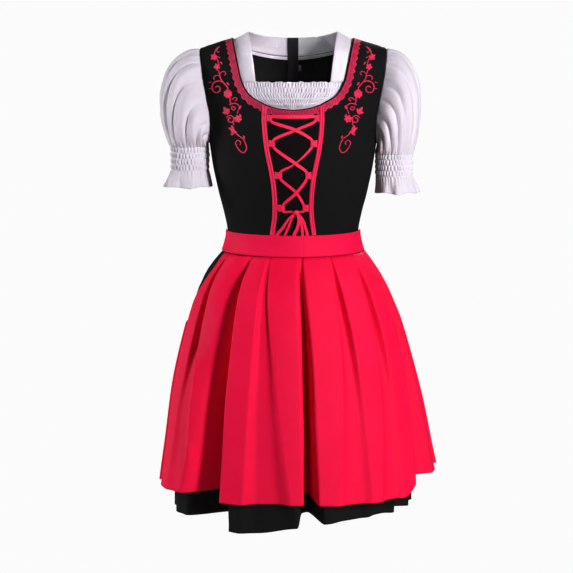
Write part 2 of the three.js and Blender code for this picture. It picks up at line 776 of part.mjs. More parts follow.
// Waistband and ties, over the waist seam
const BAND_IN = 3.3;
const BAND_CLOTH = 2;
const BAND_END = 92;
add(
  'apron_band',
  wall(fractions(28).map((u) => mix(-BAND_END, BAND_END, u)), [1, 0.5, 0], (angle, v, layer) => {
    const z = mix(BAND_BOTTOM_Z, BAND_TOP_Z, v);
    return onTorso(angle, z, BAND_IN + layer * BAND_CLOTH);
  }),
  'red',
);

const TIE_CLOTH = 1;
const TIE_WIDTHS = [37, 30];
const TIE_END = 177;
const BOW_Z = -401;
for (const [side, word] of [[1, 'left'], [-1, 'right']]) {
  const geometry = wall(fractions(14), [0, 0.5, 1], (u, v, layer) => {
    const angle = mix(BAND_END + 0.15, TIE_END, u);
    const half = mix(...TIE_WIDTHS, Math.min(1, u * 2.5)) / 2;
    const z = mix(-400, BOW_Z, u) + mix(-half, half, v) * mix(1, 0.7, clamp(u * 6 - 5, 0, 1));
    return onTorso(side * angle, z, BAND_IN + layer * TIE_CLOTH);
  });
  add(`apron_tie_${word}`, geometry, 'red');
}

// The bow at the back: a knot, two loops lying outwards and two tails over the skirt.
const backDepth = torso.back(BOW_Z);
const KNOT = { half: 11, height: 26, depth: 15 };
const KNOT_IN = BAND_IN + 0.6;
const ON_TIES = BAND_IN + TIE_CLOTH + 0.65;
add(
  'bow_knot',
  wall(fractions(16).slice(0, -1).map((t) => 360 * t), [-1, -0.85, -0.4, 0.4, 0.85, 1], (turn, v, layer) => {
    const plump = Math.sqrt(1 - 0.55 * v * v) * (layer ? 1 : 0.35);
    const x = KNOT.half * plump * Math.cos(degToRad(turn));
    const y = (KNOT.depth / 2) * plump * Math.sin(degToRad(turn));
    return vector(x, backDepth + KNOT_IN + KNOT.depth / 2 + y, BOW_Z + (v * KNOT.height) / 2);
  }, { round: true }),
  'red',
);

const BOW_LOOP = { length: 112, droop: 16, puff: 15, turns: 20 };
const bowProfile = fractions(BOW_LOOP.turns).map((u) => {
  const reach = 1 - Math.abs(2 * u - 1) ** 1.7;
  const puff = BOW_LOOP.puff * Math.sin(Math.PI * u) * step(u * 1.6 - 0.3);
  return { along: BOW_LOOP.length * reach, out: ON_TIES + 4.6 * u + puff + 4 * reach };
});
for (const [side, word] of [[1, 'left'], [-1, 'right']]) {
  const loop = foldedBand(bowProfile, TIE_CLOTH, [-1, 0, 1], (along, v, out) => {
    const reach = along / BOW_LOOP.length;
    const z = BOW_Z - BOW_LOOP.droop * reach ** 2 + v * mix(9, 17, Math.min(1, reach * 1.6));
    const angle = 180 - 5.3 - radToDeg(along / 122);
    return onTorso(side * angle, clamp(z, -430, -375), out).setZ(z);
  });
  add(`bow_loop_${word}`, loop, 'red');

  const tail = wall(fractions(9), [-1, 1], (u, v, layer) => {
    const z = mix(BOW_Z - KNOT.height / 2 - 0.35, -705 + 18 * side + 9 * v * side, u);
    const half = mix(6, 15, Math.min(1, u * 5));
    const x = side * mix(7, 52 + 8 * side, u) + v * half * side;
    const angle = 180 - radToDeg(Math.asin(x / skirt.half(z)));
    return skirtShape(angle, z, 0, 0, BAND_IN + 1.8 + 3 * u + layer * TIE_CLOTH);
  });
  add(`bow_tail_${word}`, tail, 'red');
}

// Lace along the front neckline, with a toothed outer edge.
const LACE_WIDTH = 15;
const LACE_CLOTH = 0.9;
const TOOTH = 2.6;
const LACE_TEETH = 38;
const necklineWhole = byLength(
  (t) => {
    const along = Math.abs(2 * t - 1);
    return { x: Math.sign(t - 0.5) * neckline.x(along), z: neckline.z(along) };
  },
  ({ x, z }) => onFrontAt(x, z, 0),
);
function lacePoint(share, across) {
  const edge = necklineWhole.at(share);
  const before = necklineWhole.at(share - 0.004);
  const after = necklineWhole.at(share + 0.004);
  const run = new THREE.Vector2(after.x - before.x, after.z - before.z).normalize();
  const lean = Math.max(0, (Math.abs(edge.x) - 100) / 19);
  return { x: edge.x + run.y * across * 0.985, z: Math.min(edge.z - run.x * across, 2 - 2 * lean) };
}
add(
  'lace_trim',
  wall(fractions(LACE_TEETH * 2), [0, 1], (share, v, layer) => {
    const tooth = Math.round(share * LACE_TEETH * 2) % 2;
    const across = mix(0.4, LACE_WIDTH - (tooth ? 0 : TOOTH), v);
    const { x, z } = lacePoint(mix(0.008, 0.992, share), across);
    return forward(onFrontAt(x, Math.min(z, ridge.z(Math.abs(x)) - 1.5), ON_BODICE + layer * LACE_CLOTH));
  }),
  'trim',
);

// Two-ribbed bindings over the insert's seams, from the waistband up to the lace.
const BINDING_WIDTH = 10;
const BINDING_RIBS = [
  { across: -1, height: 0.8 },
  { across: -0.55, height: 1.6 },
  { across: -0.1, height: 1.1 },
  { across: 0.1, height: 1.1 },
  { across: 0.55, height: 1.6 },
  { across: 1, height: 0.8 },
];
const bindingTop = (x) => neckline.z(necklineAlong('x', x)) - LACE_WIDTH * 1.02 - 1.4;
for (const [side, word] of [[1, 'left'], [-1, 'right']]) {
  const geometry = wall(BINDING_RIBS, fractions(9), ({ across, height }, v, layer) => {
    const topZ = bindingTop(frontSeam.x(-140) + (across * BINDING_WIDTH) / 2);
    const z = mix(BAND_TOP_Z + 0.5, topZ, v);
    const x = frontSeam.x(z) + (across * BINDING_WIDTH) / 2;
    return forward(onFrontAt(side * x, z, ON_BODICE + layer * height));
  });
  add(`binding_${word}`, geometry, 'trim');
}

// Ribbon loops on the bindings' inner edges, each a narrow band folded back over itself.
const LOOP_BAND = 7;
const LOOP_CLOTH = 0.7;
const LOOPS = [
  { z: -159, left: 9, right: 10 },
  { z: -200, left: 11, right: 9.5 },
  { z: -260, left: 9.5, right: 12 },
  { z: -324, left: 9, right: 12 },
];
const bindingInner = (z) => frontSeam.x(z) - BINDING_WIDTH / 2;
const LOOP_PROFILE = [
  { reach: 0.04, out: 0.1 },
  { reach: 0.5, out: 0.1 },
  { reach: 0.92, out: 0.5 },
  { reach: 1, out: 2 },
  { reach: 0.92, out: 3.6 },
  { reach: 0.5, out: 4.1 },
  { reach: 0.2, out: 3.4 },
  { reach: 0.05, out: 1.7 },
];
LOOPS.forEach((row, i) => {
  for (const [side, word] of [[1, 'left'], [-1, 'right']]) {
    const profile = LOOP_PROFILE.map(({ reach, out }) => ({ along: reach * row[word], out }));
    const geometry = foldedBand(profile, LOOP_CLOTH, [-1, 1], (along, v, out) => {
      const x = side * (bindingInner(row.z) - SEAM_GAP - along);
      return forward(onFrontAt(x, row.z + (v * LOOP_BAND) / 2, ON_BODICE + out));
    });
    add(`lace_loop_${word}_${i + 1}`, geometry, 'trim');
  }
});

// Lacing: one ribbon through all eight loops, knotted at the waist.
const RIBBON_WIDTH = 5.4;
const RIBBON_CLOTH = 0.7;
const UNDER = ON_BODICE + 1.3;
const OVER = ON_BODICE + 2.5;
const LACING_KNOT = { x: 6, z: -331, half: 6, height: 9, depth: 5.5 };

function loopPass(i, side, comeFrom, goTo, level) {
  const { z } = LOOPS[i];
  const reach = side > 0 ? LOOPS[i].left : LOOPS[i].right;
  const x = side * (bindingInner(z) - 0.3 - reach * 0.5);
  return [
    { x: x - side * 0.6, z: z + comeFrom * 5.6, out: level, width: 4.2 },
    { x, z, out: UNDER + 0.3, width: 3.2 },
    { x: x - side * 0.6, z: z + goTo * 5.6, out: level, width: 4.2 },
  ];
}
const startX = LACING_KNOT.x + LACING_KNOT.half + 0.6;
const endX = LACING_KNOT.x - LACING_KNOT.half - 0.6;
const LACING = [
  { x: endX, z: LACING_KNOT.z + 1.5, out: UNDER + 0.6, width: 3 },
  ...loopPass(3, -1, -1, 1, UNDER + 0.4),
  ...loopPass(2, 1, -1, 1, OVER),
  ...loopPass(1, -1, -1, 1, OVER),
  ...loopPass(0, 1, -1, 1, OVER),
  { x: 22, z: -151.2, out: OVER, width: RIBBON_WIDTH },
  { x: -22, z: -151.2, out: OVER, width: RIBBON_WIDTH },
  ...loopPass(0, -1, 1, -1, UNDER + 0.4),
  ...loopPass(1, 1, 1, -1, UNDER),
  ...loopPass(2, -1, 1, -1, UNDER),
  ...loopPass(3, 1, 1, -1, UNDER + 0.4),
  { x: startX, z: LACING_KNOT.z + 1.5, out: UNDER + 0.6, width: 3 },
];

function ribbonStations(points, count) {
  const curve = (place) => new THREE.CatmullRomCurve3(points.map(place), false, 'centripetal');
  const path = curve(({ x, z, out }) => vector(x, z, out));
  const widths = curve(({ width }, i) => vector(width, i, 0));
  return fractions(count).map((t) => {
    const { x, y: z, z: out } = path.getPoint(t);
    const run = path.getTangent(t);
    const across = new THREE.Vector2(-run.y, run.x).normalize();
    return { x, z, out, across, width: widths.getPoint(t).x };
  });
}

function ribbon(stations, cloth) {
  return wall([-1, 1], stations, (v, station, layer) => {
    const x = station.x + (v * station.across.x * station.width) / 2;
    const z = station.z + (v * station.across.y * station.width) / 2;
    return forward(onFrontAt(x, z, station.out + layer * cloth));
  });
}
add('lacing', ribbon(ribbonStations(LACING, 98), RIBBON_CLOTH), 'trim');

add(
  'lacing_knot',
  wall(fractions(12).slice(0, -1).map((t) => 360 * t), [-1, -0.6, 0.6, 1], (turn, v, layer) => {
    const plump = Math.sqrt(1 - 0.6 * v * v) * (layer ? 1 : 0.3);
    const x = LACING_KNOT.x + LACING_KNOT.half * plump * Math.cos(degToRad(turn));
    const out = ON_BODICE + (LACING_KNOT.depth / 2) * (1 + plump * Math.sin(degToRad(turn)));
    return forward(onFrontAt(x, LACING_KNOT.z + (v * LACING_KNOT.height) / 2, out));
  }, { round: true }),
  'trim',
);

// The knot's loops and ends fan down to the waistband.
const STRAND_TOP_Z = LACING_KNOT.z - LACING_KNOT.height / 2 - 0.5;
const STRANDS = [
  { name: 'lacing_end_right', top: 1.4, bottom: -29, width: 5.4 },
  { name: 'lacing_bow_right', top: 3.7, bottom: -14, width: 4.4 },
  { name: 'lacing_bow_middle', top: 6, bottom: 2, width: 6 },
  { name: 'lacing_bow_left', top: 8.3, bottom: 16, width: 5 },
  { name: 'lacing_end_left', top: 10.6, bottom: 27, width: 5.4 },
];
for (const { name, top, bottom, width } of STRANDS) {
  const stations = ribbonStations(
    [
      { x: top, z: STRAND_TOP_Z, out: UNDER, width: 1.9 },
      { x: mix(top, bottom, 0.45), z: mix(STRAND_TOP_Z, BAND_TOP_Z, 0.4), out: OVER, width: width * 0.8 },
      { x: bottom, z: BAND_TOP_Z + 2.2, out: UNDER, width },
    ],
    8,
  );
  add(name, ribbon(stations, RIBBON_CLOTH), 'trim');
}

// Zip at the middle of the back: a tape inside, a row of teeth in the slit, and a slider with its pull.
function backMiddle(x, z, out) {
  if (z > WAIST_Z) return onBackAt(x, z, out);
  return skirtShape(180 - radToDeg(Math.asin(x / skirt.half(z))), z, 0, 0, out);
}
const TAPE_HALF = 9.5;
const TAPE_OUT = BLOUSE_IN - 1.5;
const TAPE_CLOTH = 0.8;
const ZIP_ROWS = [
  ZIP_END_Z, -530, -500, -480, -460, -440, -425, -410, -395, -380, -360, -330, -290, -240, -190, -130, -90,
];
add(
  'zip_tape',
  wall([-TAPE_HALF, TAPE_HALF], [...ZIP_ROWS, -60, -30, -1], (x, z, layer) =>
    backMiddle(x, z, TAPE_OUT - TAPE_CLOTH + layer * TAPE_CLOTH)),
  'black',
);
const TEETH_HALF = 0.9;
const TEETH_TOP_Z = -60;
add(
  'zip_teeth',
  wall([-TEETH_HALF, TEETH_HALF], [...ZIP_ROWS, TEETH_TOP_Z], (x, z, layer) =>
    backMiddle(x, z, mix(TAPE_OUT + 0.9, 1.4, layer))),
  'black',
);

// The slider and its pull, at the top of the zip. The bridge on the slider holds the pull's bar.
const SLIDER_Z = -56;
const SLIDER = { width: 6.4, height: 9, inner: 2, outer: 3.1 };
const BRIDGE = { width: 1.4, wall: 0.9, reach: 1.7, above: 1.8 };
const PULL = { width: 5, length: 19, cloth: 1, bar: 1, windowHalf: 1.5, windowLength: 3.2 };
const sliderAt = backMiddle(0, SLIDER_Z, 0);
const upwards = backMiddle(0, SLIDER_Z + 4, 0).sub(backMiddle(0, SLIDER_Z - 12, 0)).normalize();
const outwards = vector(1, 0, 0).cross(upwards).negate();
const flat = new THREE.Matrix4().makeBasis(vector(-1, 0, 0), upwards, outwards).setPosition(sliderAt);
const onEdge = new THREE.Matrix4().makeBasis(outwards, upwards, vector(1, 0, 0)).setPosition(sliderAt);

function outline(points) {
  return new THREE.Shape(points.map(([x, y]) => new THREE.Vector2(x, y)));
}

function plate(shape, depth, from, frame) {
  const geometry = new THREE.ExtrudeGeometry(shape, { depth, bevelEnabled: false, curveSegments: 4 });
  geometry.translate(0, 0, from).applyMatrix4(frame);
  return geometry;
}

const wasm = await Module();
wasm.setup();

function toManifold(geometry) {
  const bare = new THREE.BufferGeometry().setAttribute('position', geometry.getAttribute('position'));
  bare.setIndex(geometry.index);
  const merged = mergeVertices(bare, 1e-4);
  const mesh = new wasm.Mesh({
    numProp: 3,
    vertProperties: merged.attributes.position.array,
    triVerts: new Uint32Array(merged.index.array),
  });
  return new wasm.Manifold(mesh);
}

function joined(first, second) {
  const mesh = toManifold(first).add(toManifold(second)).getMesh();
  return solid(Array.from(mesh.vertProperties), Array.from(mesh.triVerts));
}

const [halfWidth, halfHeight] = [SLIDER.width / 2, SLIDER.height / 2];
const sliderPlate = outline([
  [-halfWidth * 0.6, -halfHeight],
  [halfWidth * 0.6, -halfHeight],
  [halfWidth, 0],
  [halfWidth * 0.9, halfHeight * 0.7],
  [halfWidth * 0.4, halfHeight],
  [-halfWidth * 0.4, halfHeight],
  [-halfWidth * 0.9, halfHeight * 0.7],
  [-halfWidth, 0],
]);
const bridgeFoot = SLIDER.outer - 0.4;
const bridgeTop = SLIDER.outer + BRIDGE.above;
const outerReach = BRIDGE.reach + BRIDGE.wall;
const bridge = outline([
  [bridgeFoot, -outerReach],
  [bridgeTop, -outerReach],
  [bridgeTop + BRIDGE.wall, -BRIDGE.reach],
  [bridgeTop + BRIDGE.wall, BRIDGE.reach],
  [bridgeTop, outerReach],
  [bridgeFoot, outerReach],
  [bridgeFoot, BRIDGE.reach],
  [bridgeTop, BRIDGE.reach],
  [bridgeTop, -BRIDGE.reach],
  [bridgeFoot, -BRIDGE.reach],
]);
add(
  'zip_slider',
  joined(
    plate(sliderPlate, SLIDER.outer - SLIDER.inner, SLIDER.inner, flat),
    plate(bridge, BRIDGE.width, -BRIDGE.width / 2, onEdge),
  ),
  'metal',
);

const PIN_OUT = SLIDER.outer + BRIDGE.above / 2;
const pullShape = outline([
  [-PULL.width / 2, PULL.bar / 2],
  [-PULL.width / 2, -PULL.length + 2],
  [-PULL.width / 4, -PULL.length],
  [PULL.width / 4, -PULL.length],
  [PULL.width / 2, -PULL.length + 2],
  [PULL.width / 2, PULL.bar / 2],
]);
const windowBottom = -PULL.bar / 2 - PULL.windowLength;
pullShape.holes.push(
  outline([
    [-PULL.windowHalf, -PULL.bar / 2],
    [PULL.windowHalf, -PULL.bar / 2],
    [PULL.windowHalf, windowBottom],
    [-PULL.windowHalf, windowBottom],
  ]),
);
const pull = plate(pullShape, PULL.cloth, PIN_OUT - PULL.cloth / 2, flat);
pull.deleteAttribute('uv');
pull.deleteAttribute('normal');
add('zip_pull', facingOut(mergeVertices(pull, 1e-4)), 'metal');

// A small blank label under the neckline band, beside the zip.
const LABEL = { from: 10.4, to: 17.8, top: -52, bottom: -66 };
add(
  'label',
  wall([LABEL.from, LABEL.to], [LABEL.bottom, LABEL.top], (x, z, layer) =>
    onBackAt(x, z, -1.4 + layer * 0.4)),
  'white',
);

export default garment;
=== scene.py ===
# %% [markdown]
# # A laced dirndl with its apron
# This lesson dresses a plain solid model of a dirndl in cloth, lace, ribbon and embroidery. The solid model
# gives the shape and the size; here each piece is made again, finer, on the same smooth body form, so that
# it lies exactly where its solid does.

# %% Load the frame that carries every piece
import json
import math

import bpy
import numpy as np
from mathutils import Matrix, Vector

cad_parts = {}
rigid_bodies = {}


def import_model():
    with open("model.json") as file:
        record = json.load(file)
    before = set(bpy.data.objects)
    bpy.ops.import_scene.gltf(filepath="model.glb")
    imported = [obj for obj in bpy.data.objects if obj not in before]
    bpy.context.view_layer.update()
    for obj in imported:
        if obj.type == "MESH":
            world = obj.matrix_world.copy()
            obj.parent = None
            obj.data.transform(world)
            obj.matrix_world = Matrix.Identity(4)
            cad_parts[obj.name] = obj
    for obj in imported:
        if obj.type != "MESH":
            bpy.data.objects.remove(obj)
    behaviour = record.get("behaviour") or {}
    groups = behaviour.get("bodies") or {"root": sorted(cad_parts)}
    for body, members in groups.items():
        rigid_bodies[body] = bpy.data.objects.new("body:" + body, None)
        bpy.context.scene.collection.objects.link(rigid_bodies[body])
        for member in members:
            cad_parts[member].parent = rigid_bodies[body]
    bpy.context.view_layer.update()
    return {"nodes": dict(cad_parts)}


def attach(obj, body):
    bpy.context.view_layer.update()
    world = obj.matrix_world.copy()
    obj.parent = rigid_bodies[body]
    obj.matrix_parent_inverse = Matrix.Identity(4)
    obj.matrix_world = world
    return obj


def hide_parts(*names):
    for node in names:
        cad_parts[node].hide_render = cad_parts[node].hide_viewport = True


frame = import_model()
bpy.ops.object.select_all(action="DESELECT")
print("nodes in the frame:", len(frame["nodes"]))


def add_object(name, data):
    """Puts one mesh, light or camera into the scene, at the origin."""
    made = bpy.data.objects.new(name, data)
    bpy.context.scene.collection.objects.link(made)
    return made


def new_material(name):
    """A material with its node tree and its Principled shader."""
    material = bpy.data.materials.new(name)
    material.use_nodes = True
    return material, material.node_tree, material.node_tree.nodes["Principled BSDF"]


# %% [markdown]
# ## The camera
# The dress is photographed from the front, at about the height of the shoulders and from three metres away,
# a little downwards. A camera that tilts keeps the other views centred, which a large lens shift wouldn't.

# %% Camera
CAMERA_DISTANCE = 3.0
PICTURE, FOCAL_PIXELS, SENSOR = 573, 1500, 36
MIDDLE_COLUMN, SHOULDER_ROW = 293, 38.5
camera_tilt = math.atan((PICTURE / 2 - SHOULDER_ROW) / FOCAL_PIXELS)
camera_data = bpy.data.cameras.new("camera")
camera_data.lens = SENSOR * FOCAL_PIXELS / PICTURE
camera_data.sensor_width = SENSOR
camera_data.shift_x = (PICTURE / 2 - MIDDLE_COLUMN) / PICTURE
camera = add_object("camera", camera_data)
camera.location = (0, -CAMERA_DISTANCE, 0)
camera.rotation_euler = (math.radians(90) - camera_tilt, 0, 0)
bpy.context.scene.camera = camera

# %% [markdown]
# ## The studio
# A pale floor runs back and curves up into a wall, so no horizon shows. A tall soft light stands in front to
# the right, and a weaker one at the left side: neither reaches the bottom of a deep fold, so each throws its
# own dark shade. A front light would be even, but would fill the folds. A narrow beam reaches into the
# neckline, and a soft light behind shows the back. The paper is plain white to the camera alone, as an
# overexposed backdrop is, and only a grey for the light that it throws back on the cloth. A gamma below one
# deepens the darks a little, as a catalogue print does.

# %% Floor and backdrop
FLOOR_Z, FLOOR_HALF, WALL_TOP_Z = -1.42, 9.0, 6.0
BEND_Y, BEND_RADIUS, BEND_STEPS = 2.2, 1.6, 12
PAPER_WHITE, PAPER_BOUNCE = 0.972, 0.45


def seen_value(tree, seen, otherwise):
    """One value for what the camera sees, and another for the light that goes round."""
    mixed = tree.nodes.new("ShaderNodeMix")
    tree.links.new(tree.nodes.new("ShaderNodeLightPath").outputs["Is Camera Ray"], mixed.inputs[0])
    mixed.inputs[2].default_value = otherwise
    mixed.inputs[3].default_value = seen
    return mixed.outputs[0]


def studio_paper():
    material, tree, shader = new_material("studio_paper")
    tree.links.new(seen_value(tree, 0.0, PAPER_BOUNCE), shader.inputs["Base Color"])
    shader.inputs["Specular IOR Level"].default_value = 0.0
    shader.inputs["Emission Color"].default_value = (1, 1, 1, 1)
    tree.links.new(seen_value(tree, PAPER_WHITE, 0.0), shader.inputs["Emission Strength"])
    return material


def studio_sweep():
    profile = [(-FLOOR_HALF, FLOOR_Z), (BEND_Y, FLOOR_Z)]
    for step in range(1, BEND_STEPS + 1):
        turn = math.radians(90 * step / BEND_STEPS)
        profile.append((BEND_Y + BEND_RADIUS * math.sin(turn), FLOOR_Z + BEND_RADIUS * (1 - math.cos(turn))))
    profile.append((BEND_Y + BEND_RADIUS, WALL_TOP_Z))
    points = [(x, y, z) for y, z in profile for x in (-FLOOR_HALF, FLOOR_HALF)]
    faces = [(2 * i, 2 * i + 1, 2 * i + 3, 2 * i + 2) for i in range(len(profile) - 1)]
    mesh = bpy.data.meshes.new("studio_sweep")
    mesh.from_pydata(points, [], faces)
    mesh.polygons.foreach_set("use_smooth", [True] * len(faces))
    mesh.materials.append(studio_paper())
    sweep = add_object("studio_sweep", mesh)


studio_sweep()

# %% Lights
def soft_light(name, place, aim, size, watts, beam=180):
    data = bpy.data.lights.new(name, "AREA")
    data.shape = "RECTANGLE"
    data.size, data.size_y = size
    data.energy = watts
    data.spread = math.radians(beam)
    light = add_object(name, data)
    light.location = place
    light.rotation_euler = (Vector(aim) - Vector(place)).to_track_quat("-Z", "Y").to_euler()


soft_light("key_light", (1.66, -2.45, 0.5), (0, 0, -0.5), (0.4, 1.5), 110)
soft_light("fill_light", (-2.9, 0.25, 0.2), (0, 0, -0.5), (0.5, 1.6), 78)
soft_light("neck_light", (0.1, -2.4, 0.45), (0, 0.06, -0.02), (0.12, 0.12), 0.06, 8)
soft_light("back_light", (0.8, 2.4, 1.1), (0, 0, -0.4), (1.2, 1.2), 46)
WORLD_LIGHT = 0.1
world = bpy.data.worlds.new("studio")
world.use_nodes = True
background = world.node_tree.nodes["Background"].inputs
background["Color"].default_value = (1, 1, 1, 1)
world.node_tree.links.new(seen_value(world.node_tree, PAPER_WHITE, WORLD_LIGHT), background["Strength"])
bpy.context.scene.world = world
bpy.context.scene.view_settings.view_transform = "Standard"
bpy.context.scene.view_settings.gamma = 0.8

# %% [markdown]
# ## The body form
# Every piece lies on one smooth form: an oval for each height, narrow at the waist, that rounds over into
# the shoulders. A small table and a smooth curve through its rows is easier to adjust than a sculpted body.
# The form is written in millimetres, as a pattern cutter would, and turned into metres when a mesh is made.

# %% Small tools
MM = 0.001


def mix(a, b, t):
    return a + (b - a) * t


def smooth(t):
    t = np.clip(t, 0, 1)
    return t * t * (3 - 2 * t)


def smooth_table(columns, rows):
    table = np.array(rows, float)
    xs = table[:, 0]
    before = np.maximum(np.arange(len(xs)) - 1, 0)
    after = np.minimum(np.arange(len(xs)) + 1, len(xs) - 1)
    functions = {}
    for c, name in enumerate(columns[1:], 1):
        ys = table[:, c]
        slopes = (ys[after] - ys[before]) / (xs[after] - xs[before])

        def curve(x, ys=ys, slopes=slopes):
            x = np.asarray(x, float)
            i = np.clip(np.searchsorted(xs, x, side="right") - 1, 0, len(xs) - 2)
            width = xs[i + 1] - xs[i]
            t = (x - xs[i]) / width
            inner = (
                (1 + 2 * t) * (1 - t) ** 2 * ys[i]
                + t * (1 - t) ** 2 * width * slopes[i]
                + t * t * (3 - 2 * t) * ys[i + 1]
                + t * t * (t - 1) * width * slopes[i + 1]
            )
            low = ys[0] + slopes[0] * (x - xs[0])
            high = ys[-1] + slopes[-1] * (x - xs[-1])
            return np.where(x <= xs[0], low, np.where(x >= xs[-1], high, inner))

        functions[name] = curve
    return functions


# %% Tables of the form
SHOULDER_ROUND = 55
NECK_HALF = 119
SHOULDER_HALF = 184
SHOULDER_TIP_Z = -21
UNDERARM_Z = -205
NECKLINE_Z = -136.5
WAIST_Z = -392
BAND_TOP_Z = -379
BAND_BOTTOM_Z = -421
SKIRT_HEM_Z = -944
APRON_HEM_Z = -897
ZIP_END_Z = -560

torso = smooth_table(
    ["z", "half", "front", "back"],
    [
        [-440, 152, 113, 106],
        [-421, 139, 106.5, 97.5],
        [-405, 133.5, 102.5, 92.5],
        [-390, 130.5, 100.5, 90],
        [-371, 131, 101, 90],
        [-339, 137.5, 107, 93],
        [-303, 147, 117, 98],
        [-255, 157, 128, 104],
        [-205, 165, 127, 107],
        [-150, 175, 114, 107],
        [-100, 184, 97, 103],
        [-50, 190, 82, 94],
        [0, 194, 68, 78],
        [40, 196, 56, 64],
    ],
)
ridge = smooth_table(
    ["x", "z"],
    [
        [0, 78], [60, 38], [88, 16], [NECK_HALF, 0], [150, -10],
        [SHOULDER_HALF, SHOULDER_TIP_Z], [200, -26],
    ],
)
neckline = smooth_table(
    ["along", "x", "z"],
    [
        [0, 0, NECKLINE_Z], [0.16, 26, -134], [0.3, 47, -128.5], [0.42, 65, -120], [0.54, 82, -109.5],
        [0.65, 93, -95], [0.75, 101, -76.5], [0.86, 107, -50], [0.94, 113, -23], [1, NECK_HALF, 0],
    ],
)
back_neckline = smooth_table(["x", "z"], [[0, -31], [40, -27.5], [82, -19], [NECK_HALF, 0], [130, 10]])
front_seam = smooth_table(
    ["z", "x"],
    [
        [-392, 41], [-370, 39.2], [-349, 36.2], [-322, 34.7], [-284, 36.5],
        [-255, 40.5], [-209, 49.5], [-157, 55], [-127, 54],
    ],
)
INSERT_TOP = 0.355


# %% Points on the form
def torso_face(angle, z):
    turn = np.radians(angle)
    to_front = np.cos(turn)
    x = torso["half"](z) * np.sin(turn)
    depth = np.where(to_front >= 0, torso["front"](z), torso["back"](z))
    drop = np.clip((ridge["z"](np.abs(x)) - z) / SHOULDER_ROUND, 0, 1)
    rounding = np.sqrt(np.maximum(1 - (1 - drop) ** 2, 0))
    return np.stack(np.broadcast_arrays(x, -depth * to_front * rounding, z), -1)


def normal_of(surface, u, v, du, dv):
    across = surface(u + du, v) - surface(u - du, v)
    up = surface(u, v) - surface(u, v - dv)
    normal = np.cross(across, up)
    return normal / np.maximum(np.linalg.norm(normal, axis=-1, keepdims=True), 1e-9)


def on_torso(angle, z, out):
    angle, z, out = np.broadcast_arrays(*(np.asarray(given, float) for given in (angle, z, out)))
    return torso_face(angle, z) + normal_of(torso_face, angle, z, 0.4, 0.4) * out[..., None]


def angle_at(x, z, behind=False):
    angle = np.degrees(np.arcsin(np.clip(x / torso["half"](z), -1, 1)))
    return 180 - angle if behind else angle


def on_front(x, z, out):
    return on_torso(angle_at(x, z), z, out)


def on_back(x, z, out):
    return on_torso(angle_at(x, z, True), z, out)


def neckline_along(name, value):
    alongs = np.linspace(0, 1, 400)
    return np.interp(value, neckline[name](alongs), alongs)


def walk(curve, place, samples=300):
    """Walks a curve at even lengths: gives at(share) and the whole length."""
    t = np.linspace(0, 1, samples + 1)
    spots = place(*curve(t))
    lengths = np.concatenate([[0], np.cumsum(np.linalg.norm(np.diff(spots, axis=0), axis=1))])

    def at(share):
        return curve(np.interp(np.asarray(share) * lengths[-1], lengths, t))

    return at, lengths[-1]


ARMHOLE_ANGLE, ARMHOLE_TOP_ANGLE, ARMHOLE_CURVE_Z = 67.8, 72.2, -141


def armhole_angle(z):
    up = (z - ARMHOLE_CURVE_Z) / (SHOULDER_TIP_Z - ARMHOLE_CURVE_Z)
    above = mix(ARMHOLE_ANGLE, ARMHOLE_TOP_ANGLE, up)
    down = np.clip((ARMHOLE_CURVE_Z - z) / (ARMHOLE_CURVE_Z - UNDERARM_Z), 0, 1)
    below = 90 - (90 - ARMHOLE_ANGLE) * np.sqrt(1 - down * down)
    return np.where(z >= ARMHOLE_CURVE_Z, above, below)


def armhole_edge(turn):
    middle = (SHOULDER_TIP_Z + UNDERARM_Z) / 2
    reach = (SHOULDER_TIP_Z - UNDERARM_Z) / 2
    z = middle + reach * np.cos(np.radians(turn))
    angle = armhole_angle(z)
    return np.where(np.sin(np.radians(turn)) >= 0, angle, 180 - angle), z


# %% [markdown]
# ## Cloth from a grid of points
# A garment piece is a thin shell: a grid of points for its face, pushed out and in along its own normals,
# with the rims closed. The grid also gives the cloth its own measure: the UV map holds real lengths along
# the cloth, in metres, so a weave keeps its size and follows every fold. A cloth simulation would fold it
# too, but a filled garment whose pleats must sit where they are seen is surer with its folds given one by
# one.

# %% Cloth shells
FINISHES = {}


def grid_normals(points, closed):
    if closed:
        across = np.roll(points, -1, axis=1) - np.roll(points, 1, axis=1)
    else:
        across = np.gradient(points, axis=1)
    along = np.gradient(points, axis=0)
    normal = np.cross(across, along)
    return normal / np.maximum(np.linalg.norm(normal, axis=-1, keepdims=True), 1e-12)


def cloth_lengths(points, closed=False):
    """Lengths along the cloth in metres: u across from the middle, v up from the first row."""
    wrapped = np.concatenate([points, points[:, :1]], axis=1) if closed else points
    steps_u = np.linalg.norm(np.diff(wrapped, axis=1), axis=-1)
    steps_v = np.linalg.norm(np.diff(wrapped, axis=0), axis=-1)
    u = np.concatenate([np.zeros((len(points), 1)), np.cumsum(steps_u, axis=1)], axis=1)
    v = np.concatenate([np.zeros((1, wrapped.shape[1])), np.cumsum(steps_v, axis=0)], axis=0)
    return (u - u.mean(axis=1, keepdims=True)) * MM, v * MM


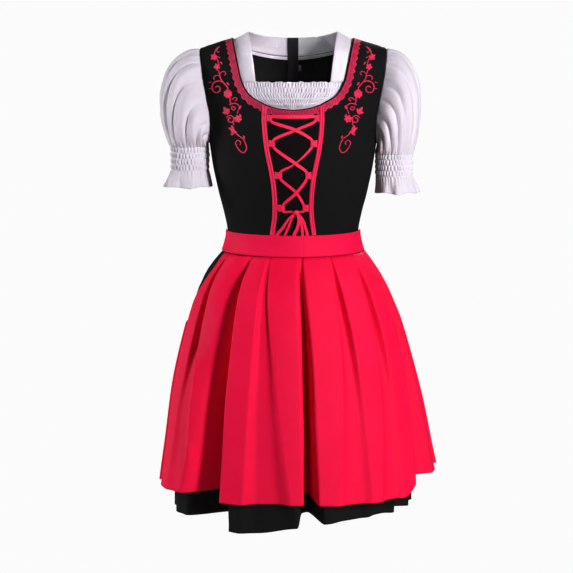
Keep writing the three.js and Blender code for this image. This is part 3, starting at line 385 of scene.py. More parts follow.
def slab(inner, outer, closed=False):
    """Two faces, each rows by columns of places in mm, joined at their rims: vertices, quads, quad uvs."""
    rows, columns = inner.shape[:2]
    vertices = np.concatenate([inner.reshape(-1, 3), outer.reshape(-1, 3)]) * MM
    index = np.arange(rows * columns).reshape(rows, columns)
    if closed:
        index = np.concatenate([index, index[:, :1]], axis=1)
    flat = np.stack(cloth_lengths(outer, closed), -1)
    shift = rows * columns
    corners = [(0, 0), (0, 1), (1, 1), (1, 0)]

    def quads_of(table, order):
        high, wide = index.shape[0] - 1, index.shape[1] - 1
        picked = [table[di : high + di, dj : wide + dj] for di, dj in (corners[k] for k in order)]
        return np.stack(picked, 2).reshape(high * wide, 4, *table.shape[2:])

    quads = [quads_of(index, (0, 1, 2, 3)) + shift, quads_of(index, (0, 3, 2, 1))]
    uvs = [quads_of(flat, (0, 1, 2, 3)), quads_of(flat, (0, 3, 2, 1))]
    rims = [(index[0], flat[0]), (index[-1][::-1], flat[-1][::-1])]
    if not closed:
        rims += [(index[:, 0][::-1], flat[:, 0][::-1]), (index[:, -1], flat[:, -1])]
    for edge, edge_uv in rims:
        p, q = edge[:-1], edge[1:]
        quads.append(np.stack([p, q, q + shift, p + shift], 1))
        uvs.append(np.stack([edge_uv[:-1], edge_uv[1:], edge_uv[1:], edge_uv[:-1]], 1))
    return vertices, np.concatenate(quads), np.concatenate(uvs)


def cloth_slab(points, inner, outer, closed=False):
    """A shell that reaches from inner mm to outer mm along the normals of its points."""
    normal = grid_normals(points, closed)
    return slab(points + normal * inner, points + normal * outer, closed)


def make_piece(name, slabs, finish, nodes=()):
    """One mesh of one or more slabs, which rides on the garment in place of the nodes it is named for."""
    vertices, quads, uvs, count = [], [], [], 0
    for slab_vertices, slab_quads, slab_uvs in slabs:
        vertices.append(slab_vertices)
        quads.append(slab_quads + count)
        uvs.append(slab_uvs)
        count += len(slab_vertices)
    vertices, quads, uvs = np.concatenate(vertices), np.concatenate(quads), np.concatenate(uvs)
    mesh = bpy.data.meshes.new(name)
    mesh.vertices.add(len(vertices))
    mesh.vertices.foreach_set("co", np.ascontiguousarray(vertices, np.float32).ravel())
    mesh.loops.add(quads.size)
    mesh.loops.foreach_set("vertex_index", np.ascontiguousarray(quads, np.int32).ravel())
    mesh.polygons.add(len(quads))
    mesh.polygons.foreach_set("loop_start", np.arange(0, quads.size, 4, dtype=np.int32))
    mesh.polygons.foreach_set("use_smooth", np.ones(len(quads), bool))
    layer = mesh.uv_layers.new(name="UVMap")
    layer.data.foreach_set("uv", np.ascontiguousarray(uvs, np.float32).ravel())
    mesh.update(calc_edges=True)
    if signed_volume(mesh) < 0:
        mesh.flip_normals()
    material, slot = FINISHES[finish]
    mesh.materials.append(material)
    piece = add_object(name, mesh)
    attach(piece, "garment")
    if nodes:
        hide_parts(*nodes)
    return piece


def signed_volume(mesh):
    mesh.calc_loop_triangles()
    triangles = np.empty(len(mesh.loop_triangles) * 3, np.int32)
    mesh.loop_triangles.foreach_get("vertices", triangles)
    places = np.empty(len(mesh.vertices) * 3, np.float32)
    mesh.vertices.foreach_get("co", places)
    a, b, c = places.reshape(-1, 3)[triangles.reshape(-1, 3)].astype(float).transpose(1, 0, 2)
    return float(np.einsum("ij,ij->", a, np.cross(b, c)))


def cloth(name, points, inner, outer, finish, nodes=(), closed=False):
    """A cloth piece from one grid of points."""
    piece = make_piece(name, [cloth_slab(points, inner, outer, closed)], finish, nodes)


def unevenness(points, size, seed, amount):
    """A gentle wander of the cloth in mm: a few soft waves in random directions, size mm long."""
    random = np.random.default_rng(seed)
    total = np.zeros(points.shape[:-1])
    for _ in range(7):
        direction = random.normal(size=3)
        direction *= 2 * np.pi / (size * random.uniform(0.7, 1.5) * np.linalg.norm(direction))
        total += np.sin(points @ direction + random.uniform(0, 2 * np.pi))
    return amount * total / 2.6


def pushed(points, height, closed=False):
    """The points moved along their own normals by a height in mm at each."""
    return points + grid_normals(points, closed) * height[..., None]


def forward(points):
    return points - np.array([0, SEAM_GAP / 2, 0])


def backward(points):
    return points + np.array([0, SEAM_GAP / 2, 0])


# %% [markdown]
# ## Finishes
# Each cloth is a Principled shader fed by small node groups: one draws the weave from the piece's own UV
# map, one makes the slow change of tone that all cloth has, and one sets a row of stitches at a height above
# the hem. An image texture would be quicker, but a formula has no limit of sharpness and no seam.

# %% Node helpers
def wire(tree, kind, inputs=None, **settings):
    """Adds a node, with its settings, and links or sets its inputs."""
    made = tree.nodes.new(kind)
    for name, value in settings.items():
        setattr(made, name, value)
    for socket, value in (inputs or {}).items():
        if isinstance(value, bpy.types.NodeSocket):
            tree.links.new(value, made.inputs[socket])
        else:
            made.inputs[socket].default_value = value
    return made


def maths(tree, operation, *values):
    return wire(tree, "ShaderNodeMath", dict(enumerate(values)), operation=operation).outputs[0]


def blend(tree, factor, a, b):
    """Mixes two numbers by a factor."""
    return wire(tree, "ShaderNodeMix", {0: factor, 2: a, 3: b}, data_type="FLOAT").outputs[0]


def blend_colours(tree, factor, a, b):
    a, b = (colour if isinstance(colour, bpy.types.NodeSocket) else (*colour, 1) for colour in (a, b))
    return wire(tree, "ShaderNodeMix", {0: factor, 6: a, 7: b}, data_type="RGBA").outputs[2]


def clamped(tree, value):
    return wire(tree, "ShaderNodeClamp", {0: value}).outputs[0]


def bumped(tree, shader, height, distance, strength=1.0):
    """Leads a height to the shader's normal."""
    bump = wire(tree, "ShaderNodeBump", {"Height": height, "Distance": distance, "Strength": strength})
    tree.links.new(bump.outputs[0], shader.inputs["Normal"])


def node_group(name, inputs, outputs):
    group = bpy.data.node_groups.new(name, "ShaderNodeTree")
    for title, kind, value in inputs:
        socket = group.interface.new_socket(name=title, in_out="INPUT", socket_type=kind)
        if value is not None:
            socket.default_value = value
    for title in outputs:
        group.interface.new_socket(name=title, in_out="OUTPUT", socket_type="NodeSocketFloat")
    return group, group.nodes.new("NodeGroupInput").outputs, group.nodes.new("NodeGroupOutput").inputs


FLOAT, VECTOR = "NodeSocketFloat", "NodeSocketVector"
TURN = 2 * math.pi

# %% The weave group
def weave_group():
    """Threads over and under from the UV map: Twill 0 is a plain weave, 1 has its slanting ribs."""
    tree, given, out = node_group(
        "weave",
        [("Vector", VECTOR, None), ("Threads", FLOAT, 1500.0), ("Twill", FLOAT, 0.0)],
        ["Height", "Slub"],
    )
    flat = wire(tree, "ShaderNodeSeparateXYZ", {0: given["Vector"]}).outputs
    turns = maths(tree, "MULTIPLY", given["Threads"], TURN)
    across = maths(tree, "SINE", maths(tree, "MULTIPLY", flat["X"], turns))
    along = maths(tree, "SINE", maths(tree, "MULTIPLY", flat["Y"], turns))
    plain = maths(tree, "MULTIPLY", across, along)
    slanted_turns = maths(tree, "MULTIPLY", turns, 0.6)
    slanted = maths(tree, "MULTIPLY", maths(tree, "ADD", flat["X"], flat["Y"]), slanted_turns)
    rib = maths(tree, "SINE", slanted)
    tree.links.new(blend(tree, given["Twill"], plain, rib), out["Height"])
    slubs = []
    for squash in ((1, 0.07, 1), (0.07, 1, 1)):
        drawn = wire(tree, "ShaderNodeVectorMath", {0: given["Vector"], 1: squash}, operation="MULTIPLY")
        noise = wire(tree, "ShaderNodeTexNoise", {"Vector": drawn.outputs[0], "Scale": 900.0, "Detail": 2.0})
        slubs.append(noise.outputs[0])
    tree.links.new(maths(tree, "MULTIPLY", maths(tree, "ADD", *slubs), 0.5), out["Slub"])
    return tree


WEAVE = weave_group()

# %% The tone group
def tone_group():
    """A slow change of tone over the cloth, with finer fuzz, from Object coordinates."""
    tree, given, out = node_group("tone", [("Vector", VECTOR, None), ("Size", FLOAT, 0.06)], ["Tone", "Fuzz"])
    scale = maths(tree, "DIVIDE", 1.0, given["Size"])
    slow = wire(tree, "ShaderNodeTexNoise", {"Vector": given["Vector"], "Scale": scale, "Detail": 3.0})
    fine = wire(tree, "ShaderNodeTexNoise", {"Vector": given["Vector"], "Scale": 2600.0, "Detail": 2.0})
    tree.links.new(slow.outputs[0], out["Tone"])
    tree.links.new(fine.outputs[0], out["Fuzz"])
    return tree


TONE = tone_group()

# %% The stitch group
def stitch_group():
    """One row of stitches at a height above the hem: where the thread lies, and how it pulls the cloth in."""
    tree, given, out = node_group(
        "stitch row",
        [("Vector", VECTOR, None), ("Row", FLOAT, 0.02), ("Stitch", FLOAT, 0.003), ("Thread", FLOAT, 0.0004)],
        ["Thread", "Pull"],
    )
    flat = wire(tree, "ShaderNodeSeparateXYZ", {0: given["Vector"]}).outputs
    away = maths(tree, "ABSOLUTE", maths(tree, "SUBTRACT", flat["Y"], given["Row"]))
    near = maths(tree, "SUBTRACT", 1.0, maths(tree, "DIVIDE", away, given["Thread"]))
    part = maths(tree, "FRACT", maths(tree, "DIVIDE", flat["X"], given["Stitch"]))
    middle = maths(tree, "SUBTRACT", 1.0, maths(tree, "ABSOLUTE", maths(tree, "SUBTRACT", part, 0.5)))
    seen = maths(tree, "GREATER_THAN", middle, 0.62)
    tree.links.new(maths(tree, "MULTIPLY", clamped(tree, near), seen), out["Thread"])
    wide = maths(tree, "MULTIPLY", given["Thread"], 4.0)
    dip = maths(tree, "SUBTRACT", 1.0, maths(tree, "DIVIDE", away, wide))
    tree.links.new(clamped(tree, dip), out["Pull"])
    return tree


STITCH = stitch_group()

# %% A cloth finish
def cloth_finish(
    key, slot, dark, light, roughness, threads, twill=0.0, sheen=0.0, specular=0.3, relief=0.00012,
    tone_size=0.06, rows=(), thread_colour=None,
):
    """A woven cloth whose tone runs between two colours, with stitch lines at the heights rows, in mm."""
    material, tree, shader = new_material(key)
    places = wire(tree, "ShaderNodeTexCoord").outputs
    counts = {"Vector": places["UV"], "Threads": threads, "Twill": twill}
    weave = wire(tree, "ShaderNodeGroup", counts, node_tree=WEAVE)
    tone = wire(tree, "ShaderNodeGroup", {"Vector": places["Object"], "Size": tone_size}, node_tree=TONE)
    spread = maths(tree, "ADD", maths(tree, "MULTIPLY", tone.outputs["Tone"], 0.62), 0.02)
    threads_show = maths(tree, "MULTIPLY", weave.outputs["Slub"], 0.38)
    colour = blend_colours(tree, clamped(tree, maths(tree, "ADD", spread, threads_show)), dark, light)
    height = maths(tree, "ADD", weave.outputs["Height"], maths(tree, "MULTIPLY", tone.outputs["Fuzz"], 1.2))
    for row in rows:
        line = {"Vector": places["UV"], "Row": row * MM}
        stitches = wire(tree, "ShaderNodeGroup", line, node_tree=STITCH).outputs
        colour = blend_colours(tree, stitches["Thread"], colour, thread_colour or light)
        height = maths(tree, "ADD", height, maths(tree, "MULTIPLY", stitches["Thread"], 1.5))
        height = maths(tree, "SUBTRACT", height, maths(tree, "MULTIPLY", stitches["Pull"], 3.0))
    tree.links.new(colour, shader.inputs["Base Color"])
    bumped(tree, shader, height, relief, 0.7)
    worn = maths(tree, "ADD", maths(tree, "MULTIPLY", tone.outputs["Tone"], 0.12), roughness - 0.06)
    tree.links.new(worn, shader.inputs["Roughness"])
    shader.inputs["Sheen Weight"].default_value = sheen
    shader.inputs["Specular IOR Level"].default_value = specular
    FINISHES[key] = (material, slot)


def srgb(*colour):
    """A colour as the eye reads it, 0 to 255, made linear."""
    shares = [channel / 255 for channel in colour]
    return tuple(c / 12.92 if c <= 0.04045 else ((c + 0.055) / 1.055) ** 2.4 for c in shares)


# %% The garment's cloths
black = dict(twill=1.0, threads=1600)
white = dict(
    dark=srgb(206, 199, 209), light=srgb(226, 220, 229),
    roughness=0.85, threads=1900, sheen=0.05, specular=0.25, relief=0.00009,
)
red = dict(roughness=0.6, threads=1700, twill=1.0, specular=0.16, relief=0.00008)
CLOTHS = [
    ("black_cloth", "bodice_cloth", dict(
        black, dark=srgb(20, 20, 21), light=srgb(34, 34, 35), roughness=0.85, specular=0.14)),
    ("insert_black", "insert_cloth", dict(
        black, dark=srgb(19, 15, 16), light=srgb(30, 23, 25), roughness=0.8, specular=0.12)),
    ("skirt_black", "skirt_cloth", dict(
        black, dark=srgb(21, 21, 21), light=srgb(34, 33, 34), roughness=0.85, specular=0.22, rows=(22,))),
    ("white_cloth", "blouse_cloth", white),
    ("sleeve_white", "blouse_cloth", dict(white, rows=(4,), thread_colour=srgb(212, 203, 218))),
    ("apron_red", "apron_cloth", dict(
        red, dark=srgb(222, 10, 62), light=srgb(240, 26, 88), rows=(24,), thread_colour=srgb(224, 18, 70))),
    ("band_red", "apron_cloth", dict(red, dark=srgb(220, 12, 66), light=srgb(238, 28, 92))),
    ("binding_red", "binding_ribbon", dict(
        dark=srgb(210, 24, 74), light=srgb(240, 48, 106), roughness=0.48, threads=1300, specular=0.35,
        relief=0.0001)),
    ("lacing_red", "lacing_ribbon", dict(
        dark=srgb(220, 20, 70), light=srgb(247, 44, 102), roughness=0.42, threads=1100, specular=0.4,
        relief=0.0001)),
    ("zip_black", "zip_tape", dict(
        dark=srgb(30, 30, 31), light=srgb(46, 46, 48), roughness=0.8, threads=900, specular=0.25)),
    ("label_white", "label_tape", dict(
        dark=srgb(240, 238, 238), light=srgb(252, 250, 250), roughness=0.6, threads=2200)),
]
for key, slot, settings in CLOTHS:
    cloth_finish(key, slot, **settings)
print("finishes:", ", ".join(FINISHES))

# %% [markdown]
# ## The bodice
# The bodice is cut in five pieces: two side fronts, the insert behind the lacing and two backs. Each is a
# grid between its own seams, laid on the body form, with the faint wander that worn cloth has. The seams
# are real gaps of a third of a millimetre, so each piece stays its own.

# %% Side fronts
BODICE_CLOTH = 1.5
SEAM_GAP = 0.3
ON_BODICE = BODICE_CLOTH + 0.9
NECK_TOP = float(neckline["z"](INSERT_TOP))


def side_front_edges():
    """The inner and outer edge of a side front, row by row: to the neckline's corner, then along it."""
    lower, upper = np.linspace(0, 1, 60), np.linspace(0, 1, 64)[1:]
    inner_z = mix(WAIST_Z, NECK_TOP, lower)
    inner = [angle_at(front_seam["x"](inner_z) + SEAM_GAP / 2, inner_z), inner_z]
    outer = [np.full(60, 90.0), mix(WAIST_Z, UNDERARM_Z, lower)]

    def neckline_part(t):
        along = mix(INSERT_TOP, 1, t)
        return neckline["x"](along), neckline["z"](along)

    def armhole_part(t):
        return armhole_edge(180 * (1 - t))

    x, z = walk(neckline_part, lambda x, z: on_front(x, z, 0))[0](upper)
    angle, arm_z = walk(armhole_part, lambda angle, z: on_torso(angle, z, 0))[0](upper)
    pairs = (inner[0], angle_at(x, z)), (inner[1], z), (outer[0], angle), (outer[1], arm_z)
    return [np.concatenate(pair) for pair in pairs]


inner_angle, inner_z, outer_angle, outer_z = side_front_edges()
for side, word in ((1, "left"), (-1, "right")):
    u = np.linspace(0, 1, 56)
    angle = mix(inner_angle[:, None], outer_angle[:, None], u)
    z = mix(inner_z[:, None], outer_z[:, None], u)
    points = forward(on_torso(side * angle, z, 0))
    points = points[:, ::side]
    points = pushed(points, unevenness(points, 90, 3 + side, 0.35))
    cloth(
        f"bodice_front_{word}_cloth", points, 0, BODICE_CLOTH, "black_cloth",
        nodes=(f"bodice_front_{word}",),
    )

# %% Laced insert
share = np.linspace(-1, 1, 50)
up = np.linspace(0, 1, 70)[:, None]
z = mix(WAIST_Z, neckline["z"](INSERT_TOP * np.abs(share)), up)
points = forward(on_front(share * (front_seam["x"](z) - SEAM_GAP / 2), z, 0))
points = pushed(points, unevenness(points, 60, 11, 0.3))
cloth("bodice_insert_cloth", points, 0, BODICE_CLOTH, "insert_black", nodes=("bodice_insert",))

# %% Bodice backs
ZIP_SLIT = 1.4


def back_x(z, u):
    outer = np.where(z < UNDERARM_Z, 90, armhole_angle(z))
    return np.maximum(ZIP_SLIT, torso["half"](z) * np.sin(np.radians(outer) * u))


def back_top(u):
    """The height of the top edge at each share of the way from the zip to the side."""
    top = np.full(u.shape, -30.0)
    for _ in range(40):
        x = back_x(top, u)
        top = mix(top, np.where(x < NECK_HALF, back_neckline["z"](x), ridge["z"](x)), 0.6)
    return np.where(u >= 1, SHOULDER_TIP_Z, top)


u = np.concatenate([np.linspace(0, 0.585, 34), np.linspace(0.585, 1, 22)[1:]])
rows = np.sin(np.linspace(0, 1, 90) * np.pi / 2)[:, None]
z = mix(WAIST_Z, back_top(u), rows)
for side, word in ((1, "left"), (-1, "right")):
    points = backward(on_back(side * back_x(z, u), z, 0))
    points = points[:, ::-side]
    points = pushed(points, unevenness(points, 90, 21 + side, 0.35))
    cloth(
        f"bodice_back_{word}_cloth", points, 0, BODICE_CLOTH, "black_cloth",
        nodes=(f"bodice_back_{word}",),
    )

# %% [markdown]
# ## Cords, piping and stitched strokes
# Piping, embroidery and ribbons all follow a path on the front. One helper draws a smooth path through a few
# points, and a second lays a section along it, domed for thread and flat for ribbon. A bevelled curve could
# do the piping, but it can't lie down on cloth as a satin stitch does.

# %% Paths on the front
def smooth_path(points, count):
    """A centripetal path through rows of numbers, whose first two are x and z; the rest follow along."""
    points = np.array(points, float)
    padded = np.vstack([2 * points[0] - points[1], points, 2 * points[-1] - points[-2]])
    gaps = np.maximum(np.linalg.norm(np.diff(padded[:, :2], axis=0), axis=1), 1e-6) ** 0.5
    knots = np.concatenate([[0], np.cumsum(gaps)])
    spots = np.linspace(knots[1], knots[-2], count)
    i = np.clip(np.searchsorted(knots, spots, side="right") - 1, 1, len(points) - 1)
    k = [knots[i + d] for d in (-1, 0, 1, 2)]
    p = [padded[i + d] for d in (-1, 0, 1, 2)]
    t = spots

    def between(a, b, ta, tb):
        return ((tb - t) / (tb - ta))[:, None] * a + ((t - ta) / (tb - ta))[:, None] * b

    a = [between(p[j], p[j + 1], k[j], k[j + 1]) for j in range(3)]
    b = [between(a[j], a[j + 1], k[j], k[j + 2]) for j in range(2)]
    return between(b[0], b[1], k[1], k[2])


def sideways(path):
    """The direction across a path in x and z."""
    run = np.gradient(path[:, :2], axis=0)
    run /= np.maximum(np.linalg.norm(run, axis=1, keepdims=True), 1e-9)
    return np.stack([-run[:, 1], run[:, 0]], 1)


def lay_along(path, widths, base, section):
    """A slab along a path; a section's row is its place across from -1 to 1, its top and its underside."""
    across = sideways(path)[:, None] * (widths[:, None] * section[:, 0] / 2)[..., None]
    x = path[:, None, 0] + across[..., 0]
    z = path[:, None, 1] + across[..., 1]
    base = np.broadcast_to(np.asarray(base, float).reshape(-1, 1), (len(path), 1))
    top, underside = (forward(on_front(x, z, base + section[:, side])) for side in (1, 2))
    return slab(underside, top)


# %% Black piping on the front neckline
whole_neckline, neckline_length = walk(
    lambda t: (
        np.sign(t - 0.5) * neckline["x"](np.abs(2 * t - 1)),
        neckline["z"](np.abs(2 * t - 1)),
    ),
    lambda x, z: on_front(x, z, 0),
)
share = np.linspace(0.004, 0.996, 300)
turn = np.linspace(0, 2 * np.pi, 11)[:-1]
x, z = whole_neckline(share)
path = np.stack([x, np.minimum(z, ridge["z"](np.abs(x)) - 1.6)], 1)
radial = sideways(path)


def piping_face(radius):
    out = BODICE_CLOTH / 2 + radius * np.sin(turn)
    place = path[:, :, None] + radial[:, :, None] * (0.2 + radius * np.cos(turn))
    return on_front(place[:, 0], place[:, 1], out[None])


make_piece("neckline_piping", [slab(piping_face(0.35), piping_face(1.25), closed=True)], "black_cloth")
print(f"front neckline: {neckline_length:.0f} mm of piping")

# %% [markdown]
# ## The neckline band and the shirred front
# The white band is a strip of doubled cloth: up each side of the front, over the shoulder and round the back
# to the zip. Inside the back, under the band, an overlocked seam allowance shows. Between the straps the
# cloth is shirred: elastic thread in rows draws it into small puckers that swap places from row to row.

# %% Neckline band
BLOUSE_CLOTH = 1.3
BLOUSE_OUT = -1.9
BLOUSE_IN = BLOUSE_OUT - BLOUSE_CLOTH
STRAP_BOTTOM_Z = -82
TUCK = 4
strap_front = smooth_table(
    ["along", "outer_x", "inner_x", "outer_z", "inner_z"],
    [
        [0, 99 + TUCK, 73, STRAP_BOTTOM_Z, STRAP_BOTTOM_Z],
        [0.3, 107 + TUCK, 77, -50, -47],
        [0.55, 112 + TUCK, 81.5, -26, -18],
        [0.75, 116 + TUCK, 85, -11, 0],
        [0.9, 118.3 + TUCK, 87.6, -4.5, 11],
        [1, NECK_HALF + TUCK, 88.6, -2, 15.6],
    ],
)
strap_back = smooth_table(
    ["along", "outer_x", "inner_x", "outer_z", "inner_z"],
    [
        [0, NECK_HALF + TUCK, 88.6, -2, 15.6],
        [0.12, 119, 86.5, -6, 14.6],
        [0.3, 103, 75, -14.5, 10.5],
        [0.5, 78, 57, -24, 6.5],
        [0.75, 40, 30, -31.5, 3],
        [1, ZIP_SLIT, ZIP_SLIT, -35, 2],
    ],
)
u = np.linspace(0, 1, 18)
for side, word in ((1, "left"), (-1, "right")):
    stretches = []
    for edges, along, place in (
        (strap_front, np.linspace(0, 0.97, 60)[:, None], on_front),
        (strap_back, np.linspace(0, 1, 80)[:, None], on_back),
    ):
        x = mix(edges["outer_x"](along), edges["inner_x"](along), u)
        z = mix(edges["outer_z"](along), edges["inner_z"](along), u)
        if place is on_back:
            z = mix(ridge["z"](x), z, smooth(along / 0.1))
        tucked = 1.6 * np.maximum(0, 1 - u / 0.3)
        edge_roll = 0.5 * (1 - smooth((1 - u) / 0.06))
        stretches.append(place(side * x, z, BLOUSE_IN - tucked - edge_roll))
    points = np.concatenate(stretches)
    points = points[:, ::-side]
    points = pushed(points, unevenness(points, 40, 31 + side, 0.3))
    cloth(
        f"neck_band_{word}_cloth", points, 0, BLOUSE_CLOTH, "white_cloth",
        nodes=(f"neck_band_{word}",),
    )

# %% Overlocked seam allowance inside the back
SERGED_WIDTH = 6.5
x = np.linspace(10.2, 108, 110)
for side, word in ((1, "left"), (-1, "right")):
    along = np.interp(-x, -strap_back["outer_x"](np.linspace(0, 1, 400)), np.linspace(0, 1, 400))
    top = strap_back["outer_z"](along) - 1.7
    down = np.linspace(1, 0, 8)[:, None]
    z = top - SERGED_WIDTH * down
    loops = 0.35 * np.abs(np.sin(x * 1.6 + 3 * down)) + 0.3 * np.sin(x * 0.23)
    points = on_back(side * x, z, BLOUSE_OUT - 1.1 + loops)[:, ::-side]
    make_piece(f"overlocked_seam_{word}", [cloth_slab(points, -0.5, 0.3)], "white_cloth")

# %% Shirred front
SHIRR_ROWS = 6
SHIRR_PUCKERS = 35
u = np.linspace(0, 1, 265)
v = np.linspace(0, 1, 46)[:, None]
z = mix(NECKLINE_Z - 6, STRAP_BOTTOM_Z - SEAM_GAP, v)
across = neckline["x"](neckline_along("z", np.maximum(z, NECKLINE_Z + 3)))
half = np.minimum(across + TUCK + 6, 100)
row = v * SHIRR_ROWS
phase = 1.3 * np.sin(9 * u + 5 * v) + 0.9 * np.sin(37 * u - 9 * v) + 0.5 * np.sin(71 * u + 13 * v)
puckers = np.cos(2 * np.pi * SHIRR_PUCKERS * u + np.pi * np.floor(row) + phase)
bubble = np.sin(np.pi * (row % 1)) ** 0.8
fine = 0.25 * np.cos(2 * np.pi * 2 * SHIRR_PUCKERS * u + 5 * v + phase)
uneven = 0.75 + 0.25 * np.sin(31 * u + 2 * np.floor(row))
pucker = mix(3.4, 2.2, v) * bubble * (puckers * uneven + fine) + 0.25 * puckers
between_straps = smooth(np.minimum(u, 1 - u) / 0.03 - 4.0)
waves = 0.6 * np.sin(57 * u) + 0.5 * np.sin(34 * u + 1) + 0.45 * np.sin(101 * u) + 0.7
wavy_top = smooth((v - 0.8) / 0.2) * mix(3.0, waves, between_straps)
sunk = 1.2 * (1 - between_straps) * smooth((v - 0.8) / 0.1)
out = BLOUSE_IN - 1.2 + pucker * mix(0.4, 1, between_straps) - sunk
points = on_front(mix(-half, half, u), z + wavy_top, out)
cloth("shirred_front_cloth", points, -0.8, 0.25, "white_cloth", nodes=("shirred_front",))

# %% [markdown]
# ## The puff sleeves
# One cut piece makes each sleeve: gathered at the armhole, drawn in above the hem by rows of elastic, with
# the hem left as a ruffle. Each ring of the grid runs once round the arm, and a Bezier curve carries it from
# the armhole out over the puff and in again to the cuff. Soft folds of uneven size are added on top.

# %% Sleeve shape
SLEEVES = [
    dict(
        word="left", side=1, cuff_x=202, cuff_y=-4, cuff_top=-226, cuff_height=43, cuff_radius=36.5,
        ruffle_drop=34, ruffle_shift=4, flare=8, puff_x=57, puff_side=28, puff_up=84,
    ),
    dict(
        word="right", side=-1, cuff_x=206, cuff_y=-4, cuff_top=-211, cuff_height=47, cuff_radius=37.5,
        ruffle_drop=33, ruffle_shift=0, flare=12, puff_x=66, puff_side=38, puff_up=74,
    ),
]
PUFF_FOLDS, CUFF_PUCKERS, RUFFLE_WAVES, ARMHOLE_CLEAR = 15, 36, 8, 1.5
ELASTIC_ROWS = 5


def cuff_ring(sleeve, angle, z, radius, shift=0.0):
    x = sleeve["side"] * (sleeve["cuff_x"] + shift + radius * np.cos(angle))
    return np.stack(np.broadcast_arrays(x, sleeve["cuff_y"] - radius * np.sin(angle), z), -1)


def puff_ring(sleeve, turn, along):
    """A ring of the puff, along running from 0 at the armhole to 1 at the cuff."""
    side, angle = sleeve["side"], np.radians(turn)
    to_top, to_front = np.cos(angle), np.sin(angle)
    lift = (1 + to_top) / 2
    start = on_torso(*armhole_edge(turn), BODICE_CLOTH / 2)
    start[:, 0] = side * (start[:, 0] + ARMHOLE_CLEAR)
    end = cuff_ring(sleeve, angle, sleeve["cuff_top"], sleeve["cuff_radius"])
    leave = np.stack([side * (7 + sleeve["puff_x"] * lift), -34 * to_front, 4 * lift], 1)
    arrive = np.stack(
        [side * sleeve["puff_side"] * lift**2, -36 * to_front, 3 + sleeve["puff_up"] * lift], 1
    )
    a, b = along, 1 - along
    point = b**3 * start + 3 * b * b * a * (start + leave) + 3 * b * a * a * (end + arrive) + a**3 * end
    sway = 1.5 * along * to_front + 0.55 * np.sin(3 * angle + side) + 0.3 * np.sin(8 * angle)
    fold = 2 * np.abs(np.sin(PUFF_FOLDS / 2 * angle + sway)) ** 0.7 - 1.3
    uneven = 0.55 * np.sin(17 * angle + 2.2 * along + side) + 0.45 * np.sin(29 * angle - 3 * along)
    mid = np.sin(np.pi * along) ** 0.7
    heading = np.exp(-along / 0.07) * np.cos(44 * angle + 1.5 * np.sin(5 * angle))
    above_cuff = np.exp(-(1 - along) / 0.09) * np.cos(CUFF_PUCKERS * angle)
    height = 4.0 * mid * fold * (0.75 + 0.25 * lift) + 1.2 * mid * uneven * (0.5 + 0.5 * lift)
    height += 1.1 * heading * min(1, along / 0.015) * (0.3 + 0.7 * lift) + 1.3 * above_cuff
    away = point - np.array([side * (sleeve["cuff_x"] - 12), 0, 0])
    away[:, 2] = 0
    away /= np.linalg.norm(away, axis=1, keepdims=True)
    return point + away * height[:, None]


def hem_ring(sleeve, turn, along):
    """A ring of the shirred cuff for along from 1 to 2, and of the ruffle from 2 to 3."""
    angle = np.radians(turn)
    wander = 0.5 * np.sin(3 * angle) + 0.7 * np.sin(7 * angle + 2 * along)
    wander += 0.5 * np.sin(13 * angle - 3 * along)
    z = sleeve["cuff_top"] - sleeve["cuff_height"] * min(along - 1, 1)
    if along <= 2:
        row = (along - 1) * (ELASTIC_ROWS - 1)
        bubble = abs(math.sin(math.pi * row)) ** 0.8
        flip = math.pi * math.floor(min(row, ELASTIC_ROWS - 1.001))
        puckers = np.cos(CUFF_PUCKERS * angle + flip + wander)
        radius = sleeve["cuff_radius"] - 1.2 + 0.9 * bubble + puckers * mix(0.5, 1.35, bubble)
        return cuff_ring(sleeve, angle, z + 0.5 * np.sin(9 * angle) * bubble, radius)
    down = along - 2
    inner = np.clip(-np.cos(angle), 0, 1)
    wave = np.cos(RUFFLE_WAVES * angle + 0.8 * sleeve["side"] + 0.5 * wander)
    wave *= 4.2 * down * (1 - 0.55 * inner)
    gathers = 1.5 * np.cos(CUFF_PUCKERS * angle + wander) * math.exp(-down / 0.3)
    radius = sleeve["cuff_radius"] - 1.2 * (1 - down) + sleeve["flare"] * (1 - 0.55 * inner) * down
    drop = down * (sleeve["ruffle_drop"] + 1.5 * np.sin(5 * angle))
    return cuff_ring(sleeve, angle, z - drop, radius + wave + gathers, sleeve["ruffle_shift"] * down)


# %% Sleeves
turn = np.linspace(0, 360, 217)[:-1]
alongs = np.concatenate(
    [np.linspace(3, 2, 16)[:-1], np.linspace(2, 1, 31)[:-1], 1 - np.linspace(0, 1, 52)]
)
for sleeve in SLEEVES:
    rings = [(puff_ring if a <= 1 else hem_ring)(sleeve, turn, a) for a in alongs]
    points = np.stack(rings)[:, :: -sleeve["side"]]
    points = pushed(points, unevenness(points, 45, 41 + sleeve["side"], 0.5), closed=True)
    name = f"sleeve_{sleeve['word']}"
    half = BLOUSE_CLOTH / 2
    cloth(f"{name}_cloth", points, -half, half, "sleeve_white", nodes=(name,), closed=True)

# %% [markdown]
# ## The skirt and the apron
# Both hang from the waist in pleats. A pleat is written as a valley between two crests: where it starts at
# the band, where it ends at the hem, and how far each of its slopes reaches. A steep slope is the sharp edge
# of a pleat, with the dark recess beside it, and a long one is a soft fold. The apron takes the skirt's
# folds, a little further out, as real layers do. Columns of the grid run down along the folds.

